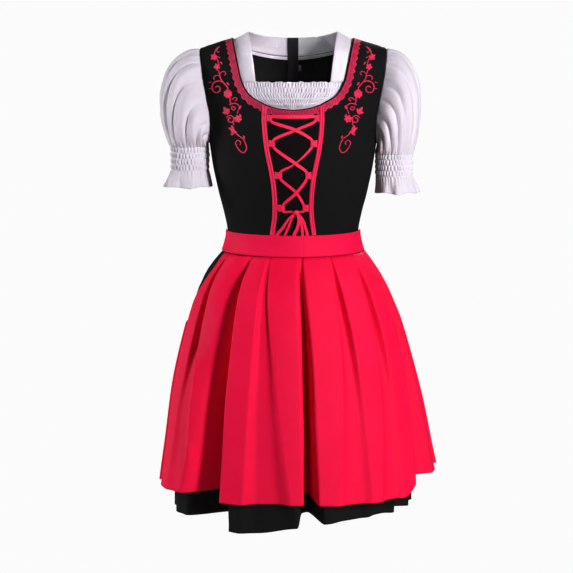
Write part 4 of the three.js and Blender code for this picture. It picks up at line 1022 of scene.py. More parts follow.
# %% Skirt tables
skirt = smooth_table(
    ["z", "half", "front", "back", "shift"],
    [
        [-960, 245, 187, 205, 0],
        [-867, 242, 184, 198, 0],
        [-766, 235.5, 180, 189, 0],
        [-699, 229.5, 175, 181, 0],
        [-632, 220.5, 169, 171, 0],
        [-565, 207.5, 160, 158, -1],
        [-532, 198, 153, 149, -2],
        [-499, 187.5, 145, 139, -3],
        [-483, 180.3, 140, 132, -3],
        [-466, 172, 134, 125, -3],
        [-450, 161.8, 126.5, 117, -2.5],
        [-434, 150, 116.5, 107.5, -1.5],
        [-421, 139, 106.5, 97.5, 0],
        [-405, 133.5, 102.5, 92.5, 0],
        [WAIST_Z, 130.5, 100.5, 90, 0],
    ],
)
FRONT_FOLDS = [
    # band, hem, depth, right slope, left slope, deepening below the band
    [-61, -62, 6, 9, 9, 14],
    [-34.6, -37.5, 108, 25, 3.4, 12],
    [-17.5, -13, 14, 11, 14, 4],
    [6.3, 7.2, 92, 2.6, 5.0, 9],
    [29.6, 29, 9, 9, 8, 13],
    [53.3, 45.5, 8, 6.5, 5.5, 13],
    [75, 63, 36, 5, 13, 6],
]
SIDE_FOLDS = [[-83, -83.5, 14, 5, 5, 2], [84, 84, 13, 4.5, 4.5, 4]]
BACK_FOLDS = [
    [103, 101, 25, 6, 6.5, 4],
    [121, 120, 31, 6.5, 6, 4],
    [140, 141, 27, 6, 6.5, 4],
    [160, 161, 33, 6.5, 5.5, 4],
]
MIRRORED = [
    [360 - band, 361 - hem, depth, left, right, extra]
    for band, hem, depth, right, left, extra in BACK_FOLDS
]
FOLDS = np.array(FRONT_FOLDS + SIDE_FOLDS + BACK_FOLDS + MIRRORED, float)
PLEAT_DEPTH, PLEAT_WIDTH = 2.2, 2.2
SKIRT_CLOTH, APRON_CLOTH = 1.3, 1.2
APRON_FRONT_GAP = 8
APRON_SIDE_GAP = {"left": 65, "right": 33}
SKIRT_WIDEN = 2.8
SEWN_SHUT = 0.02
SKIRT_TOP_Z = WAIST_Z - SEAM_GAP
APRON_TOP_Z = BAND_BOTTOM_Z - SEAM_GAP


# %% Folds
def fold_at(fold, down, widen):
    band, hem, depth, right, left, extra = fold
    return (
        mix(band, hem, down),
        mix(PLEAT_WIDTH, right, down) + widen,
        mix(PLEAT_WIDTH, left, down) + widen,
        mix(PLEAT_DEPTH, depth, down**0.9) + extra * smooth(down / 0.14) * (1 - smooth((down - 0.2) / 0.4)),
    )


def valley_depth(angle, down, widen):
    depth = np.zeros(np.broadcast(angle, down).shape)
    for fold in FOLDS:
        middle, right, left, full = fold_at(fold, down, widen)
        off = (angle - middle + 540) % 360 - 180
        share = np.minimum(1, np.abs(off) / np.where(off < 0, right, left))
        depth += full * (1 - smooth(share**2.1))
    return depth


def skirt_hem(angle):
    sideways_share = np.sin(np.radians(angle))
    lower = 10 * np.exp(-(((angle + 16) / 18) ** 2)) + 9 * smooth((angle - 40) / 30) * (angle < 120)
    return -944 + 10 * np.tanh(3 * sideways_share) + 1.5 * np.cos(np.radians(6 * angle + 20)) - lower


def apron_hem(angle):
    raised = 28 * smooth((angle - 52) / 12) + 8 * smooth((angle - 66) / 24)
    return APRON_HEM_Z + raised + 1.5 * np.cos(np.radians(7 * angle))


def apron_gap(angle, down):
    to_side = np.sin(np.radians(np.clip(angle, -90, 90))) ** 2
    side_gap = np.where(angle > 0, APRON_SIDE_GAP["left"], APRON_SIDE_GAP["right"])
    return SKIRT_CLOTH + 2.4 + mix(APRON_FRONT_GAP * down, side_gap * down**1.5, to_side)


def skirt_shape(angle, z, down, widen, gap):
    turn = np.radians(angle)
    half = skirt["half"](z)
    depth = np.where(np.cos(turn) >= 0, skirt["front"](z), skirt["back"](z))
    x, y = half * np.sin(turn), -depth * np.cos(turn)
    out = np.stack([x / half**2, y / depth**2], -1)
    out /= np.linalg.norm(out, axis=-1, keepdims=True)
    reach = gap - valley_depth(angle, down, widen)
    return np.stack([x + skirt["shift"](z) + out[..., 0] * reach, y + out[..., 1] * reach, z], -1)


def below_band(z):
    return np.clip((z - APRON_TOP_Z) / (SKIRT_HEM_Z - APRON_TOP_Z), 0, 1)


def skirt_face(angle, down):
    z = mix(SKIRT_TOP_Z, skirt_hem(angle), down)
    below = below_band(z)
    return skirt_shape(angle, z, below, mix(0.7, SKIRT_WIDEN, below), 0)


def apron_face(angle, down):
    z = mix(APRON_TOP_Z, apron_hem(angle), down)
    below = below_band(z)
    return skirt_shape(angle, z, below, 0, apron_gap(angle, below))


# %% Columns that follow the folds
def turned(fold, degrees):
    return [fold[0] + degrees, fold[1] + degrees, *fold[2:]]


SORTED_FOLDS = sorted(
    (turned(fold, degrees) for degrees in (-360, 0, 360) for fold in FOLDS), key=lambda fold: fold[1]
)
SORTED_FOLDS = [fold for fold in SORTED_FOLDS if -125 < fold[1] < 300]


def fold_marks(down):
    marks = []
    for fold in SORTED_FOLDS:
        middle, right, left, _ = fold_at(fold, down, 0)
        marks += [middle - right, middle, middle + left]
    return np.array(marks)


HEM_MARKS = fold_marks(1.0)


def column_angles(shares, first, last, down):
    """The angles of a row's columns, between the piece's edges at that height and along its folds."""
    start, end = first(1.0), last(1.0)
    inside = (HEM_MARKS > start + 0.5) & (HEM_MARKS < end - 0.5)
    count = int(inside.sum())
    low, high = first(down), last(down)
    room = 0.5 * np.arange(1, count + 1)
    marks = np.clip(fold_marks(down)[inside], low + room, high - room[::-1])
    return np.interp(mix(start, end, shares), [start, *HEM_MARKS[inside], end], [low, *marks, high])


def hanging(surface, first, last, columns, rows, to_fold_down):
    """Rows from the hem up to the waist, each with its columns on the surface."""
    shares = np.linspace(0, 1, columns)
    grid = []
    for down in 1 - np.linspace(0, 1, rows) ** 1.15:
        fold_down = float(np.clip(to_fold_down(down), 0, 1))
        grid.append(surface(column_angles(shares, first, last, fold_down), down))
    return np.stack(grid)


def degrees_for(length, down):
    return np.degrees(length / mix(95, 190, down))


# %% Skirt
def skirt_down(down):
    return (mix(SKIRT_TOP_Z, SKIRT_HEM_Z, down) - APRON_TOP_Z) / (SKIRT_HEM_Z - APRON_TOP_Z)


def side_seam(sign):
    return lambda down: sign * (90 - degrees_for(SEAM_GAP / 2, down))


def seam_behind(down):
    return 90 + degrees_for(SEAM_GAP / 2, down)


def zip_edge(down):
    z = mix(APRON_TOP_Z, SKIRT_HEM_Z, down)
    return 180 - degrees_for(mix(ZIP_SLIT, SEWN_SHUT, smooth((ZIP_END_Z - z) / 12)), down)


PANELS = [
    ("skirt_front", side_seam(-1), side_seam(1), 350),
    ("skirt_back_left", seam_behind, zip_edge, 180),
    ("skirt_back_right", lambda down: 360 - zip_edge(down), lambda down: 360 - seam_behind(down), 180),
]
for name, first, last, columns in PANELS:
    points = hanging(skirt_face, first, last, columns, 50, skirt_down)
    points = pushed(points, unevenness(points, 150, 51 + columns, 0.9))
    cloth(
        f"{name}_cloth", points, 0, SKIRT_CLOTH, "skirt_black",
        nodes=(name,),
    )

# %% Apron
right_edge = smooth_table(
    ["down", "angle"],
    [[0, -72], [0.05, -68], [0.1, -70.5], [0.16, -76], [0.26, -85], [0.4, -91], [0.6, -94], [1, -96]],
)


def apron_right(down):
    return right_edge["angle"](down)


def apron_left(down):
    return mix(90, 99, smooth(down / 0.5))


def apron_down(down):
    return down * (APRON_TOP_Z - APRON_HEM_Z) / (APRON_TOP_Z - SKIRT_HEM_Z)


points = hanging(apron_face, apron_right, apron_left, 500, 90, apron_down)
points = pushed(points, unevenness(points, 170, 61, 1.1))
cloth(
    "apron_skirt_cloth", points, 0, APRON_CLOTH, "apron_red",
    nodes=("apron_skirt",),
)

# %% [markdown]
# ## Waistband, ties and bow
# The waistband lies over the waist seam and holds the apron's pleats. It narrows into two ties that meet at
# the back in a bow: a knot, two loops and two tails. The loops are bands folded back over themselves, made
# from a profile in length and height, which is how a ribbon bow is folded.

# %% Waistband and ties
BAND_IN, BAND_CLOTH, BAND_END = 3.3, 2, 92
u = np.linspace(-BAND_END, BAND_END, 240)
v = np.linspace(0, 1, 20)[:, None]
z = mix(BAND_BOTTOM_Z, BAND_TOP_Z, v)
points = on_torso(u, z, BAND_IN)
edge = np.minimum(v, 1 - v)
rolled = -0.6 * (1 - smooth(edge / 0.06)) + 0.25 * np.sin(np.pi * v)
seam = -0.5 * np.exp(-((np.broadcast_to(u, z.shape[:1] + u.shape) - 8.0) / 0.5) ** 2)
points = pushed(points, rolled + seam + unevenness(points, 70, 71, 0.35))
cloth("apron_band_cloth", points, 0, BAND_CLOTH, "band_red", nodes=("apron_band",))

TIE_CLOTH, TIE_WIDTHS, TIE_END, BOW_Z = 1, (37, 30), 177, -401
u = np.linspace(0, 1, 90)
v = np.linspace(0, 1, 16)[:, None]
for side, word in ((1, "left"), (-1, "right")):
    half = mix(*TIE_WIDTHS, np.minimum(1, u * 2.5)) / 2
    z = mix(-400, BOW_Z, u) + mix(-half, half, v) * mix(1, 0.7, np.clip(u * 6 - 5, 0, 1))
    points = on_torso(side * mix(BAND_END + 0.15, TIE_END, u), z, BAND_IN)[:, ::side]
    gathers = 0.45 * np.sin(v * 14 + 2.5 * u) * (0.3 + 0.7 * smooth(u * 3 - 2))[::side]
    points = pushed(points, gathers + unevenness(points, 40, 75 + side, 0.25))
    cloth(
        f"apron_tie_{word}_cloth", points, 0, TIE_CLOTH, "band_red",
        nodes=(f"apron_tie_{word}",),
    )

# %% Bow
BOW_LOOP = dict(length=112, droop=16, puff=15)
KNOT = dict(half=11, height=26, depth=15)
ON_TIES = BAND_IN + TIE_CLOTH + 0.65
KNOT_IN = BAND_IN + 0.6
back_depth = float(torso["back"](BOW_Z))


def folded_profile(along, out, cloth_thickness):
    """The two faces of a folded band, as lengths along and out for its inner and its outer side."""
    run = np.stack([np.gradient(along), np.gradient(out)])
    run *= cloth_thickness / np.hypot(*run)
    return (along, out), (along - run[1], out + run[0])


u = np.linspace(0, 1, 64)
v = np.linspace(-1, 1, 13)
reach = 1 - np.abs(2 * u - 1) ** 1.7
puff = BOW_LOOP["puff"] * np.sin(np.pi * u) * smooth(u * 1.6 - 0.3)
profile = (BOW_LOOP["length"] * reach, ON_TIES + 4.6 * u + puff + 4 * reach)


def bow_face(along, out, side):
    share = along[:, None] / BOW_LOOP["length"]
    crease = 1.3 * np.sin(3.2 * v[None] * (1.4 - share)) * np.exp(-3 * share)
    z = BOW_Z - BOW_LOOP["droop"] * share**2 + v * mix(9, 17, np.minimum(1, share * 1.6))
    angle = 180 - 5.3 - np.degrees(along[:, None] / 122) + 0 * v
    spot = on_torso(side * angle, np.clip(z, -430, -375), out[:, None] + crease)
    spot[..., 2] = z
    return spot


def knot_face(layer):
    v = np.linspace(-1, 1, 18)[:, None]
    turn = np.linspace(0, 2 * np.pi, 41)[:-1]
    plump = np.sqrt(1 - 0.55 * v * v) * (1.0 if layer else 0.35)
    wrinkle = 1 + (0.05 * np.sin(5 * turn + 3 * v) + 0.03 * np.sin(11 * turn)) * layer
    x = KNOT["half"] * plump * wrinkle * np.cos(turn)
    y = KNOT["depth"] / 2 * plump * wrinkle * np.sin(turn)
    z = np.broadcast_to(BOW_Z + v * KNOT["height"] / 2, x.shape)
    return np.stack([x, back_depth + KNOT_IN + KNOT["depth"] / 2 + y, z], -1)


make_piece("bow_knot_cloth", [slab(knot_face(0), knot_face(1), closed=True)], "band_red", ("bow_knot",))
for side, word in ((1, "left"), (-1, "right")):
    inner, outer = folded_profile(*profile, TIE_CLOTH)
    faces = [bow_face(*face, side) for face in (inner, outer)]
    loop = make_piece(f"bow_loop_{word}_cloth", [slab(*faces)], "band_red", (f"bow_loop_{word}",))
    u_tail = np.linspace(1, 0, 60)[:, None]
    z = mix(BOW_Z - KNOT["height"] / 2 - 0.35, -705 + 18 * side + 9 * v * side, u_tail)
    half = mix(6, 15, np.minimum(1, u_tail * 5))
    x = side * mix(7, 52 + 8 * side, u_tail) + v * half * side
    angle = 180 - np.degrees(np.arcsin(x / skirt["half"](z)))
    curl = 1.2 * np.sin(2.4 * v + 6 * u_tail) * smooth(u_tail * 1.3)
    curl += 1.1 * np.sin(9 * u_tail) * smooth(u_tail)
    points = skirt_shape(angle, z, 0 * z, 0, BAND_IN + 3 + 3 * u_tail + curl)[:, ::-side]
    cloth(
        f"bow_tail_{word}_cloth", points, 0, TIE_CLOTH, "band_red",
        nodes=(f"bow_tail_{word}",),
    )

# %% [markdown]
# ## Lace along the neckline
# A narrow lace runs round the front neckline, with pointed teeth on its outer edge, two raised cords and rows
# of small eyelets. The teeth and cords are in the mesh. The eyelets are two millimetres across, so they are
# drawn as dark spots that also sink, where the black cloth behind would show through.

# %% The lace finish
def eyelet_group():
    """A row of round spots: 1 inside a spot, 0 outside, at a height across the lace."""
    tree, given, out = node_group(
        "eyelets",
        [("Vector", VECTOR, None), ("Row", FLOAT, 0.007), ("Pitch", FLOAT, 0.0037), ("Radius", FLOAT, 0.001)],
        ["Hole"],
    )
    flat = wire(tree, "ShaderNodeSeparateXYZ", {0: given["Vector"]}).outputs
    repeat = maths(tree, "FRACT", maths(tree, "DIVIDE", flat["X"], given["Pitch"]))
    part = maths(tree, "SUBTRACT", repeat, 0.5)
    across = maths(tree, "POWER", maths(tree, "MULTIPLY", part, given["Pitch"]), 2.0)
    up = maths(tree, "POWER", maths(tree, "SUBTRACT", flat["Y"], given["Row"]), 2.0)
    distance = maths(tree, "SQRT", maths(tree, "ADD", across, up))
    inside = maths(tree, "SUBTRACT", 1.3, maths(tree, "DIVIDE", distance, given["Radius"]))
    tree.links.new(clamped(tree, maths(tree, "MULTIPLY", inside, 3.0)), out["Hole"])
    return tree


def thread_finish(key, slot, dark, light, roughness, stitch, slant, specular, holes=(), ground=None):
    """Thread laid side by side: fine lines across a stroke, or a lace's net with its eyelets."""
    material, tree, shader = new_material(key)
    places = wire(tree, "ShaderNodeTexCoord").outputs
    flat = wire(tree, "ShaderNodeSeparateXYZ", {0: places["UV"]}).outputs
    run = maths(tree, "ADD", flat["Y"], maths(tree, "MULTIPLY", flat["X"], slant))
    line = maths(tree, "SINE", maths(tree, "MULTIPLY", run, TURN / (stitch * MM)))
    tone_places = {"Vector": places["Object"], "Size": 0.012}
    tone = wire(tree, "ShaderNodeGroup", tone_places, node_tree=TONE).outputs
    # Each thread's crest is painted lighter as a painted highlight, and the groove between threads darker as
    # painted shade; the tone adds a slow change on top.
    painted_highlight_and_shade, tone_shows = maths(tree, "MULTIPLY", line, 0.24), maths(tree, "MULTIPLY", tone["Tone"], 0.9)
    colour = blend_colours(tree, clamped(tree, maths(tree, "ADD", painted_highlight_and_shade, tone_shows)), dark, light)
    height = maths(tree, "ADD", line, maths(tree, "MULTIPLY", tone["Fuzz"], 1.5))
    for row, pitch, radius in holes:
        sizes = {"Vector": places["UV"], "Row": row * MM, "Pitch": pitch * MM, "Radius": radius * MM}
        spots = wire(tree, "ShaderNodeGroup", sizes, node_tree=EYELETS).outputs["Hole"]
        colour = blend_colours(tree, spots, colour, ground)
        height = maths(tree, "SUBTRACT", height, maths(tree, "MULTIPLY", spots, 4.0))
    tree.links.new(colour, shader.inputs["Base Color"])
    bumped(tree, shader, height, 0.00012, 0.8)
    gloss = maths(tree, "ADD", maths(tree, "MULTIPLY", tone["Tone"], 0.15), roughness - 0.07)
    tree.links.new(gloss, shader.inputs["Roughness"])
    shader.inputs["Specular IOR Level"].default_value = specular
    FINISHES[key] = (material, slot)


EYELETS = eyelet_group()
LACE_WIDTH, LACE_TEETH, TOOTH, LACE_CLOTH = 15, 38, 2.6, 0.9
PITCH = neckline_length * 0.984 / LACE_TEETH
thread_finish(
    "lace_red", "lace", srgb(156, 22, 56), srgb(238, 64, 118), 0.6, 0.8, 0.9, 0.35,
    holes=((4.4, PITCH / 2, 0.95), (7.6, PITCH / 3, 0.8), (10.8, PITCH / 2, 0.9)), ground=srgb(60, 12, 24),
)
thread_finish("satin_red", "lacing_ribbon", srgb(210, 22, 70), srgb(240, 64, 116), 0.42, 0.7, 0.5, 0.45)

# %% Lace
def lace_point(share, across):
    x, z = whole_neckline(share)
    before, after = whole_neckline(share - 0.004), whole_neckline(share + 0.004)
    run = np.stack([after[0] - before[0], after[1] - before[1]], -1)
    run /= np.linalg.norm(run, axis=-1, keepdims=True)
    lean = np.maximum(0, (np.abs(x) - 100) / 19)
    return x + run[..., 1] * across * 0.985, np.minimum(z - run[..., 0] * across, 2 - 2 * lean)


share = np.linspace(0, 1, LACE_TEETH * 14 + 1)
tooth = np.abs(2 * (share * LACE_TEETH % 1) - 1)
v = np.linspace(1, 0, 22)[:, None]
edge = LACE_WIDTH + 0.5 - (TOOTH + 1.0) * tooth**1.1
across = mix(1.0, edge, v)
x, z = lace_point(mix(0.008, 0.992, share)[None] + 0 * across, across)
z = np.minimum(z, ridge["z"](np.abs(x)) - 1.5)


def cord(middle, width):
    return np.maximum(0, 1 - ((across - middle) / width) ** 2) ** 0.5


zigzag = 9.0 + 1.6 * np.abs(2 * (share * LACE_TEETH * 2 % 1) - 1)
cords = [(0.5, 1.9, 0.9), (0.45, 6.6, 0.8), (0.35, zigzag, 0.7), (0.4, edge - 0.8, 0.9)]
relief = sum(height * cord(middle, width) for height, middle, width in cords)
inner_face = forward(on_front(x, z, ON_BODICE))
outer_face = forward(on_front(x, z, ON_BODICE + LACE_CLOTH * 0.6 + relief))
make_piece("lace_trim_threads", [slab(inner_face, outer_face)], "lace_red", ("lace_trim",))
print(f"lace: {neckline_length * 0.984:.0f} mm long, {LACE_WIDTH} mm wide, {LACE_TEETH} teeth")

# %% [markdown]
# ## Bindings, loops and lacing
# A ribbon with two ribs covers each seam of the insert and carries four loops. One long ribbon is laced
# through the loops, crosses itself three times and is knotted at the waist. Its route is a given list of
# points, with the height at each, so that it passes over or under itself and narrows in the loops.

# %% Bindings
BINDING_WIDTH = 9


def binding_top(x):
    return neckline["z"](neckline_along("x", x)) - 2.2


across = np.linspace(-1, 1, 27)
up = np.linspace(0, 1, 200)[:, None]
ribs = np.maximum(1 - ((np.abs(across - 0.08) - 0.53) / 0.44) ** 2, 0) ** 0.5
for side, word in ((1, "left"), (-1, "right")):
    top = binding_top(front_seam["x"](-140) + across * BINDING_WIDTH / 2)
    z = mix(BAND_TOP_Z + 0.5, top, up)
    x = front_seam["x"](z) + across * BINDING_WIDTH / 2
    puckered = 0.12 * np.sin(z * 0.9 + 2 * across) + 0.1 * np.sin(z * 0.31)
    height = 0.4 + 1.4 * ribs + puckered * ribs
    over_lace = 1.3 * smooth((z - top + LACE_WIDTH + 3) / 3)
    outs = (ON_BODICE + over_lace, ON_BODICE + over_lace + height)
    faces = [forward(on_front(side * x, z, out))[:, ::side] for out in outs]
    make_piece(f"binding_{word}_ribbon", [slab(*faces)], "binding_red", (f"binding_{word}",))

# %% Loops
LOOPS = [(-151.5, 10, 11), (-199, 13.5, 12), (-258.5, 12, 14.5), (-322.5, 12, 14)]
LOOP_CLOTH, LOOP_HEIGHT, LOOP_TIP = 0.7, 13.5, 10
LOOP_PATH = [(0.0, 0.1), (0.5, 0.1), (0.92, 0.5), (1, 2), (0.92, 3.6), (0.5, 4.1), (0.2, 3.4), (0.03, 1.9)]


def binding_inner(z):
    return front_seam["x"](z) - BINDING_WIDTH / 2


profile = smooth_path(LOOP_PATH, 34)
v = np.linspace(-1, 1, 11)
for number, (z, left, right) in enumerate(LOOPS, 1):
    for side, word, reach in ((1, "left", left), (-1, "right", right)):
        faces = []
        for along, out in folded_profile(profile[:, 0] * reach, profile[:, 1], LOOP_CLOTH):
            share = np.clip(along / reach, 0, 1)[:, None]
            half = mix(LOOP_HEIGHT, LOOP_TIP, smooth(share)) / 2
            pinch = 0.35 * np.sin(4.5 * v) * share
            x = side * (binding_inner(z) - SEAM_GAP - along[:, None] + 0 * v)
            spot = forward(on_front(x, z + v * half, ON_BODICE + out[:, None] + pinch))
            faces.append(spot[:, ::side])
        name = f"lace_loop_{word}_{number}"
        make_piece(f"{name}_ribbon", [slab(*faces)], "binding_red", (name,))

# %% Lacing
UNDER, OVER = ON_BODICE + 1.3, ON_BODICE + 2.5
RIBBON_CLOTH = 0.7
LACING_KNOT = dict(x=6, z=-331, half=6, height=9, depth=5.5)
RIBBON_SECTION = np.array([(v, RIBBON_CLOTH + 0.12 * abs(v) ** 6, 0) for v in np.linspace(-1, 1, 9)])


def loop_pass(i, side, come_from, go_to, level):
    z, left, right = LOOPS[i]
    x = side * (binding_inner(z) - 0.3 - (left if side > 0 else right) * 0.72)
    return [
        (x - side * 1.2, z + come_from * 6.4, level, 5.0),
        (x, z, UNDER + 0.3, 3.4),
        (x - side * 1.2, z + go_to * 6.4, level, 5.0),
    ]


low = UNDER + 0.4
LACING = [
    (LACING_KNOT["x"] - 6.6, LACING_KNOT["z"] + 1.5, UNDER + 0.6, 3.4),
    *loop_pass(3, -1, -1, 1, low),
    (6, -292, OVER, 6.2),
    *loop_pass(2, 1, -1, 1, OVER),
    (4.5, -236, OVER, 6.4),
    *loop_pass(1, -1, -1, 1, low),
    (4.5, -174, UNDER, 5.6),
    *loop_pass(0, 1, -0.9, 0.35, OVER),
    (24, -149.4, OVER, 6.8),
    (-24, -149.4, OVER, 6.8),
    *loop_pass(0, -1, 0.35, -0.9, low),
    (4.5, -174, OVER, 6.4),
    *loop_pass(1, 1, 1, -1, low),
    (4.5, -236, UNDER, 3.0),
    *loop_pass(2, -1, 1, -1, UNDER),
    (6, -292, UNDER, 5.4),
    *loop_pass(3, 1, 1, -1, low),
    (LACING_KNOT["x"] + 6.6, LACING_KNOT["z"] + 1.5, UNDER + 0.6, 3.4),
]
path = smooth_path(LACING, 620)
lacing_length = np.linalg.norm(np.diff(path[:, :3], axis=0), axis=1).sum()
ribbon = lay_along(path, path[:, 3], path[:, 2], RIBBON_SECTION)
make_piece("lacing_ribbon", [ribbon], "lacing_red", ("lacing",))
print(f"lacing between the knot's two sides: {lacing_length:.0f} mm")

# %% Knot and strands
STRAND_TOP_Z = LACING_KNOT["z"] - LACING_KNOT["height"] / 2 - 0.5
STRANDS = [
    ("lacing_end_right", 1.4, -12, -30, 6.0),
    ("lacing_bow_right", 3.7, -5, -15, 4.8),
    ("lacing_bow_middle", 6, 12.5, 2, 6.6),
    ("lacing_bow_left", 8.3, 16, 18, 5.4),
    ("lacing_end_left", 10.6, 21, 27, 5.6),
]
for name, top, middle, bottom, width in STRANDS:
    path = smooth_path(
        [
            (top, STRAND_TOP_Z + 2.5, UNDER, 2.2),
            (mix(top, middle, 0.7), STRAND_TOP_Z - 8, OVER, width * 0.75),
            (mix(middle, bottom, 0.4), mix(STRAND_TOP_Z, BAND_TOP_Z, 0.6), OVER + 0.4, width),
            (bottom, BAND_TOP_Z + 1.5, UNDER + 0.2, width * 1.05),
            (bottom - 0.5, BAND_TOP_Z - 9, 1.75, width),
        ],
        60,
    )
    ribbon = lay_along(path, path[:, 3], path[:, 2], RIBBON_SECTION)
    make_piece(f"{name}_ribbon", [ribbon], "lacing_red", (name,))


def lacing_knot_face(layer):
    v = np.linspace(-1, 1, 16)[:, None]
    turn = np.linspace(0, 2 * np.pi, 37)[:-1]
    plump = np.sqrt(1 - 0.6 * v * v) * (1.0 if layer else 0.3)
    wrap = 1 + 0.09 * layer * np.sin(3 * turn + 2.5 * v)
    x = LACING_KNOT["x"] + LACING_KNOT["half"] * plump * wrap * np.cos(turn)
    out = ON_BODICE + LACING_KNOT["depth"] / 2 * (1 + plump * wrap * np.sin(turn))
    return forward(on_front(x, LACING_KNOT["z"] + v * LACING_KNOT["height"] / 2 + 0 * x, out))


make_piece(
    "lacing_knot_ribbon", [slab(lacing_knot_face(0), lacing_knot_face(1), closed=True)], "lacing_red",
    ("lacing_knot",),
)

# %% [markdown]
# ## Embroidery
# A spray of flowers, buds, leaves and scrolls runs down each side front in satin stitch. Each stroke is a
# low dome swept along its line: a stem keeps its width, and a petal or a leaf swells in the middle. The
# finish draws the single threads across it, with a painted highlight on each thread and painted shade
# between them. The two sides mirror each other.

# %% Strokes
SATIN_BASE, SATIN_HEIGHT, STEM_FLAT = 1.2, 1.25, 2.2


def stroke(points, width, swell=False):
    """A stitched line through (x, z) points; a swelling one is thin at both ends."""
    rows = [(x, z) for x, z in points]
    length = sum(math.dist(a, b) for a, b in zip(rows, rows[1:]))
    path = smooth_path(rows, max(6, round(length / 1.1)))
    t = np.linspace(0, 1, len(path))
    ends = np.minimum(1, np.minimum(t, 1 - t) * length / 1.6 + 0.25)
    widths = width * (np.sin(np.pi * (0.08 + 0.84 * t)) ** 0.8 if swell else ends)
    return path, widths


def petal(x, z, angle, start, end, width):
    way = np.array([math.cos(math.radians(angle)), math.sin(math.radians(angle))])
    a, b, c = (np.array([x, z]) + way * d for d in (start, (start + end) / 2, end))
    return stroke([a, b, c], width, swell=True)


def flower(x, z, radius, petals, turn):
    angles = [turn + 360 * k / petals for k in range(petals)]
    around = [petal(x, z, angle, 0.12 * radius, radius, 0.82 * radius) for angle in angles]
    return around + [petal(x, z, turn + 20, -0.3 * radius, 0.3 * radius, 0.62 * radius)]


def scroll(x, z, radius, start, sweep, width):
    """A curl that winds inwards from its radius."""
    turns = np.linspace(0, 1, 9)
    angles = np.radians(start + sweep * turns)
    reach = radius * (1 - 0.72 * turns)
    return stroke([(x + r * math.cos(a), z + r * math.sin(a)) for r, a in zip(reach, angles)], width)


# %% The spray
STEM = 2.4
spray = [
    stroke([(142, -17), (149, -21), (153, -31)], STEM),
    scroll(144.5, -25, 4.6, 80, -260, 2.0),
    *flower(153.5, -36, 6.9, 5, 100),
    petal(143, -37, 20, -3, 4, 2.4),
    stroke([(150, -36), (145.5, -43), (144, -49)], STEM),
    petal(138.5, -47.5, 60, -3.4, 3.4, 3.4),
    *flower(146.8, -54.5, 6.6, 5, 60),
    stroke([(145, -60), (142, -68), (140, -77), (133, -86), (126.8, -93), (125, -99)], STEM),
    stroke([(141.5, -68), (136.5, -63.6), (131, -64), (130, -68.5), (133, -70.5)], 2.1),
    stroke([(141.6, -72), (148.5, -70.8), (153.4, -75), (152.4, -80)], 2.0),
    stroke([(135, -83.5), (145, -81.5), (153.6, -85.5), (157, -93), (154.5, -101.5), (147.5, -104.5)], STEM),
    stroke([(147.5, -104.5), (141.6, -100.5), (141.4, -94), (146, -91.3), (150.4, -94.6)], 2.3),
    petal(161, -84.4, 170, -3, 3, 2.2),
    petal(160.6, -96.6, 185, -3, 3, 2.2),
    petal(125.6, -86.6, 50, -3.6, 3.6, 4.0),
    *flower(125.3, -106, 8.6, 8, 20),
    stroke([(120.6, -112), (121.2, -119), (119.4, -125)], STEM),
    stroke([(118.4, -118), (113, -113.4), (107.6, -114.4), (109, -118.8), (112.4, -118.4)], 2.1),
    stroke([(123, -127), (115.6, -124.2), (108.8, -124.4), (102.6, -129)], STEM),
    petal(101.8, -131.6, 300, -4.4, 4.4, 5.4),
    scroll(113.6, -132.8, 5.2, 60, -430, 2.1),
    petal(130.4, -136.6, 60, -6.4, 6, 7.4),
    petal(125.6, -139.4, 110, -6.4, 6, 7.0),
    petal(131, -142.4, 10, -5, 5, 6.0),
    stroke([(104.6, -136), (106.8, -144)], 2.2),
    *flower(105.6, -153, 7.6, 6, 10),
    petal(100.6, -146.6, 50, -3, 3.4, 3.4),
    scroll(120.4, -154.8, 8.8, 20, 470, STEM),
    stroke([(112.4, -154), (114.6, -160), (113.8, -166)], STEM),
    petal(116, -174.6, 80, -9, 8.6, 8.4),
    petal(119.4, -173, 30, -4.6, 4.6, 5.0),
    petal(112, -177.6, 25, -5, 4.6, 5.0),
    petal(117.8, -183.4, 60, -2.4, 2.4, 3.2),
    stroke([(110, -180), (104, -185), (95.4, -190.6)], STEM),
    petal(93.6, -187.6, 70, -3.4, 3.6, 3.8),
    stroke([(95.4, -190.8), (91, -199), (88.8, -209), (94, -217), (101, -214.4), (107.8, -206)], STEM),
    stroke([(107.8, -206), (110.2, -198.4), (105.8, -193.8), (100.2, -197.4), (101.6, -203)], 2.2),
]
v = np.linspace(-1, 1, 9)
dome = 0.06 + 0.94 * np.sqrt(np.maximum(1 - v * v, 0))
section = np.stack([v, SATIN_HEIGHT * dome, 0 * v], 1)
for side, word in ((1, "left"), (-1, "right")):
    slabs = []
    for path, widths in spray:
        sunk = 0.25 * (1 - np.minimum(1, widths / STEM_FLAT))
        slabs.append(lay_along(path * np.array([side, 1]), widths, SATIN_BASE - sunk, section))
    make_piece(f"embroidery_{word}", slabs, "satin_red")
print("strokes in each spray:", len(spray))

# %% [markdown]
# ## Zip and label
# The zip runs down the middle of the back: a folded tape inside, teeth in the slit, and the slider and pull
# of the solid model, which only need a finish. A small blank label is stitched under the band beside it.

# %% Zip tape and teeth
TAPE_HALF, TAPE_CLOTH, ZIP_TOP_Z = 11, 0.8, 3
TAPE_OUT = BLOUSE_IN - 1.5


def back_middle(x, z, out):
    above = on_back(x, np.maximum(z, WAIST_Z), out)
    angle = 180 - np.degrees(np.arcsin(x / skirt["half"](z)))
    under = skirt_shape(angle, np.minimum(z, WAIST_Z), 0 * (x + z), 0, out)
    return np.where((z > WAIST_Z)[..., None], above, under)


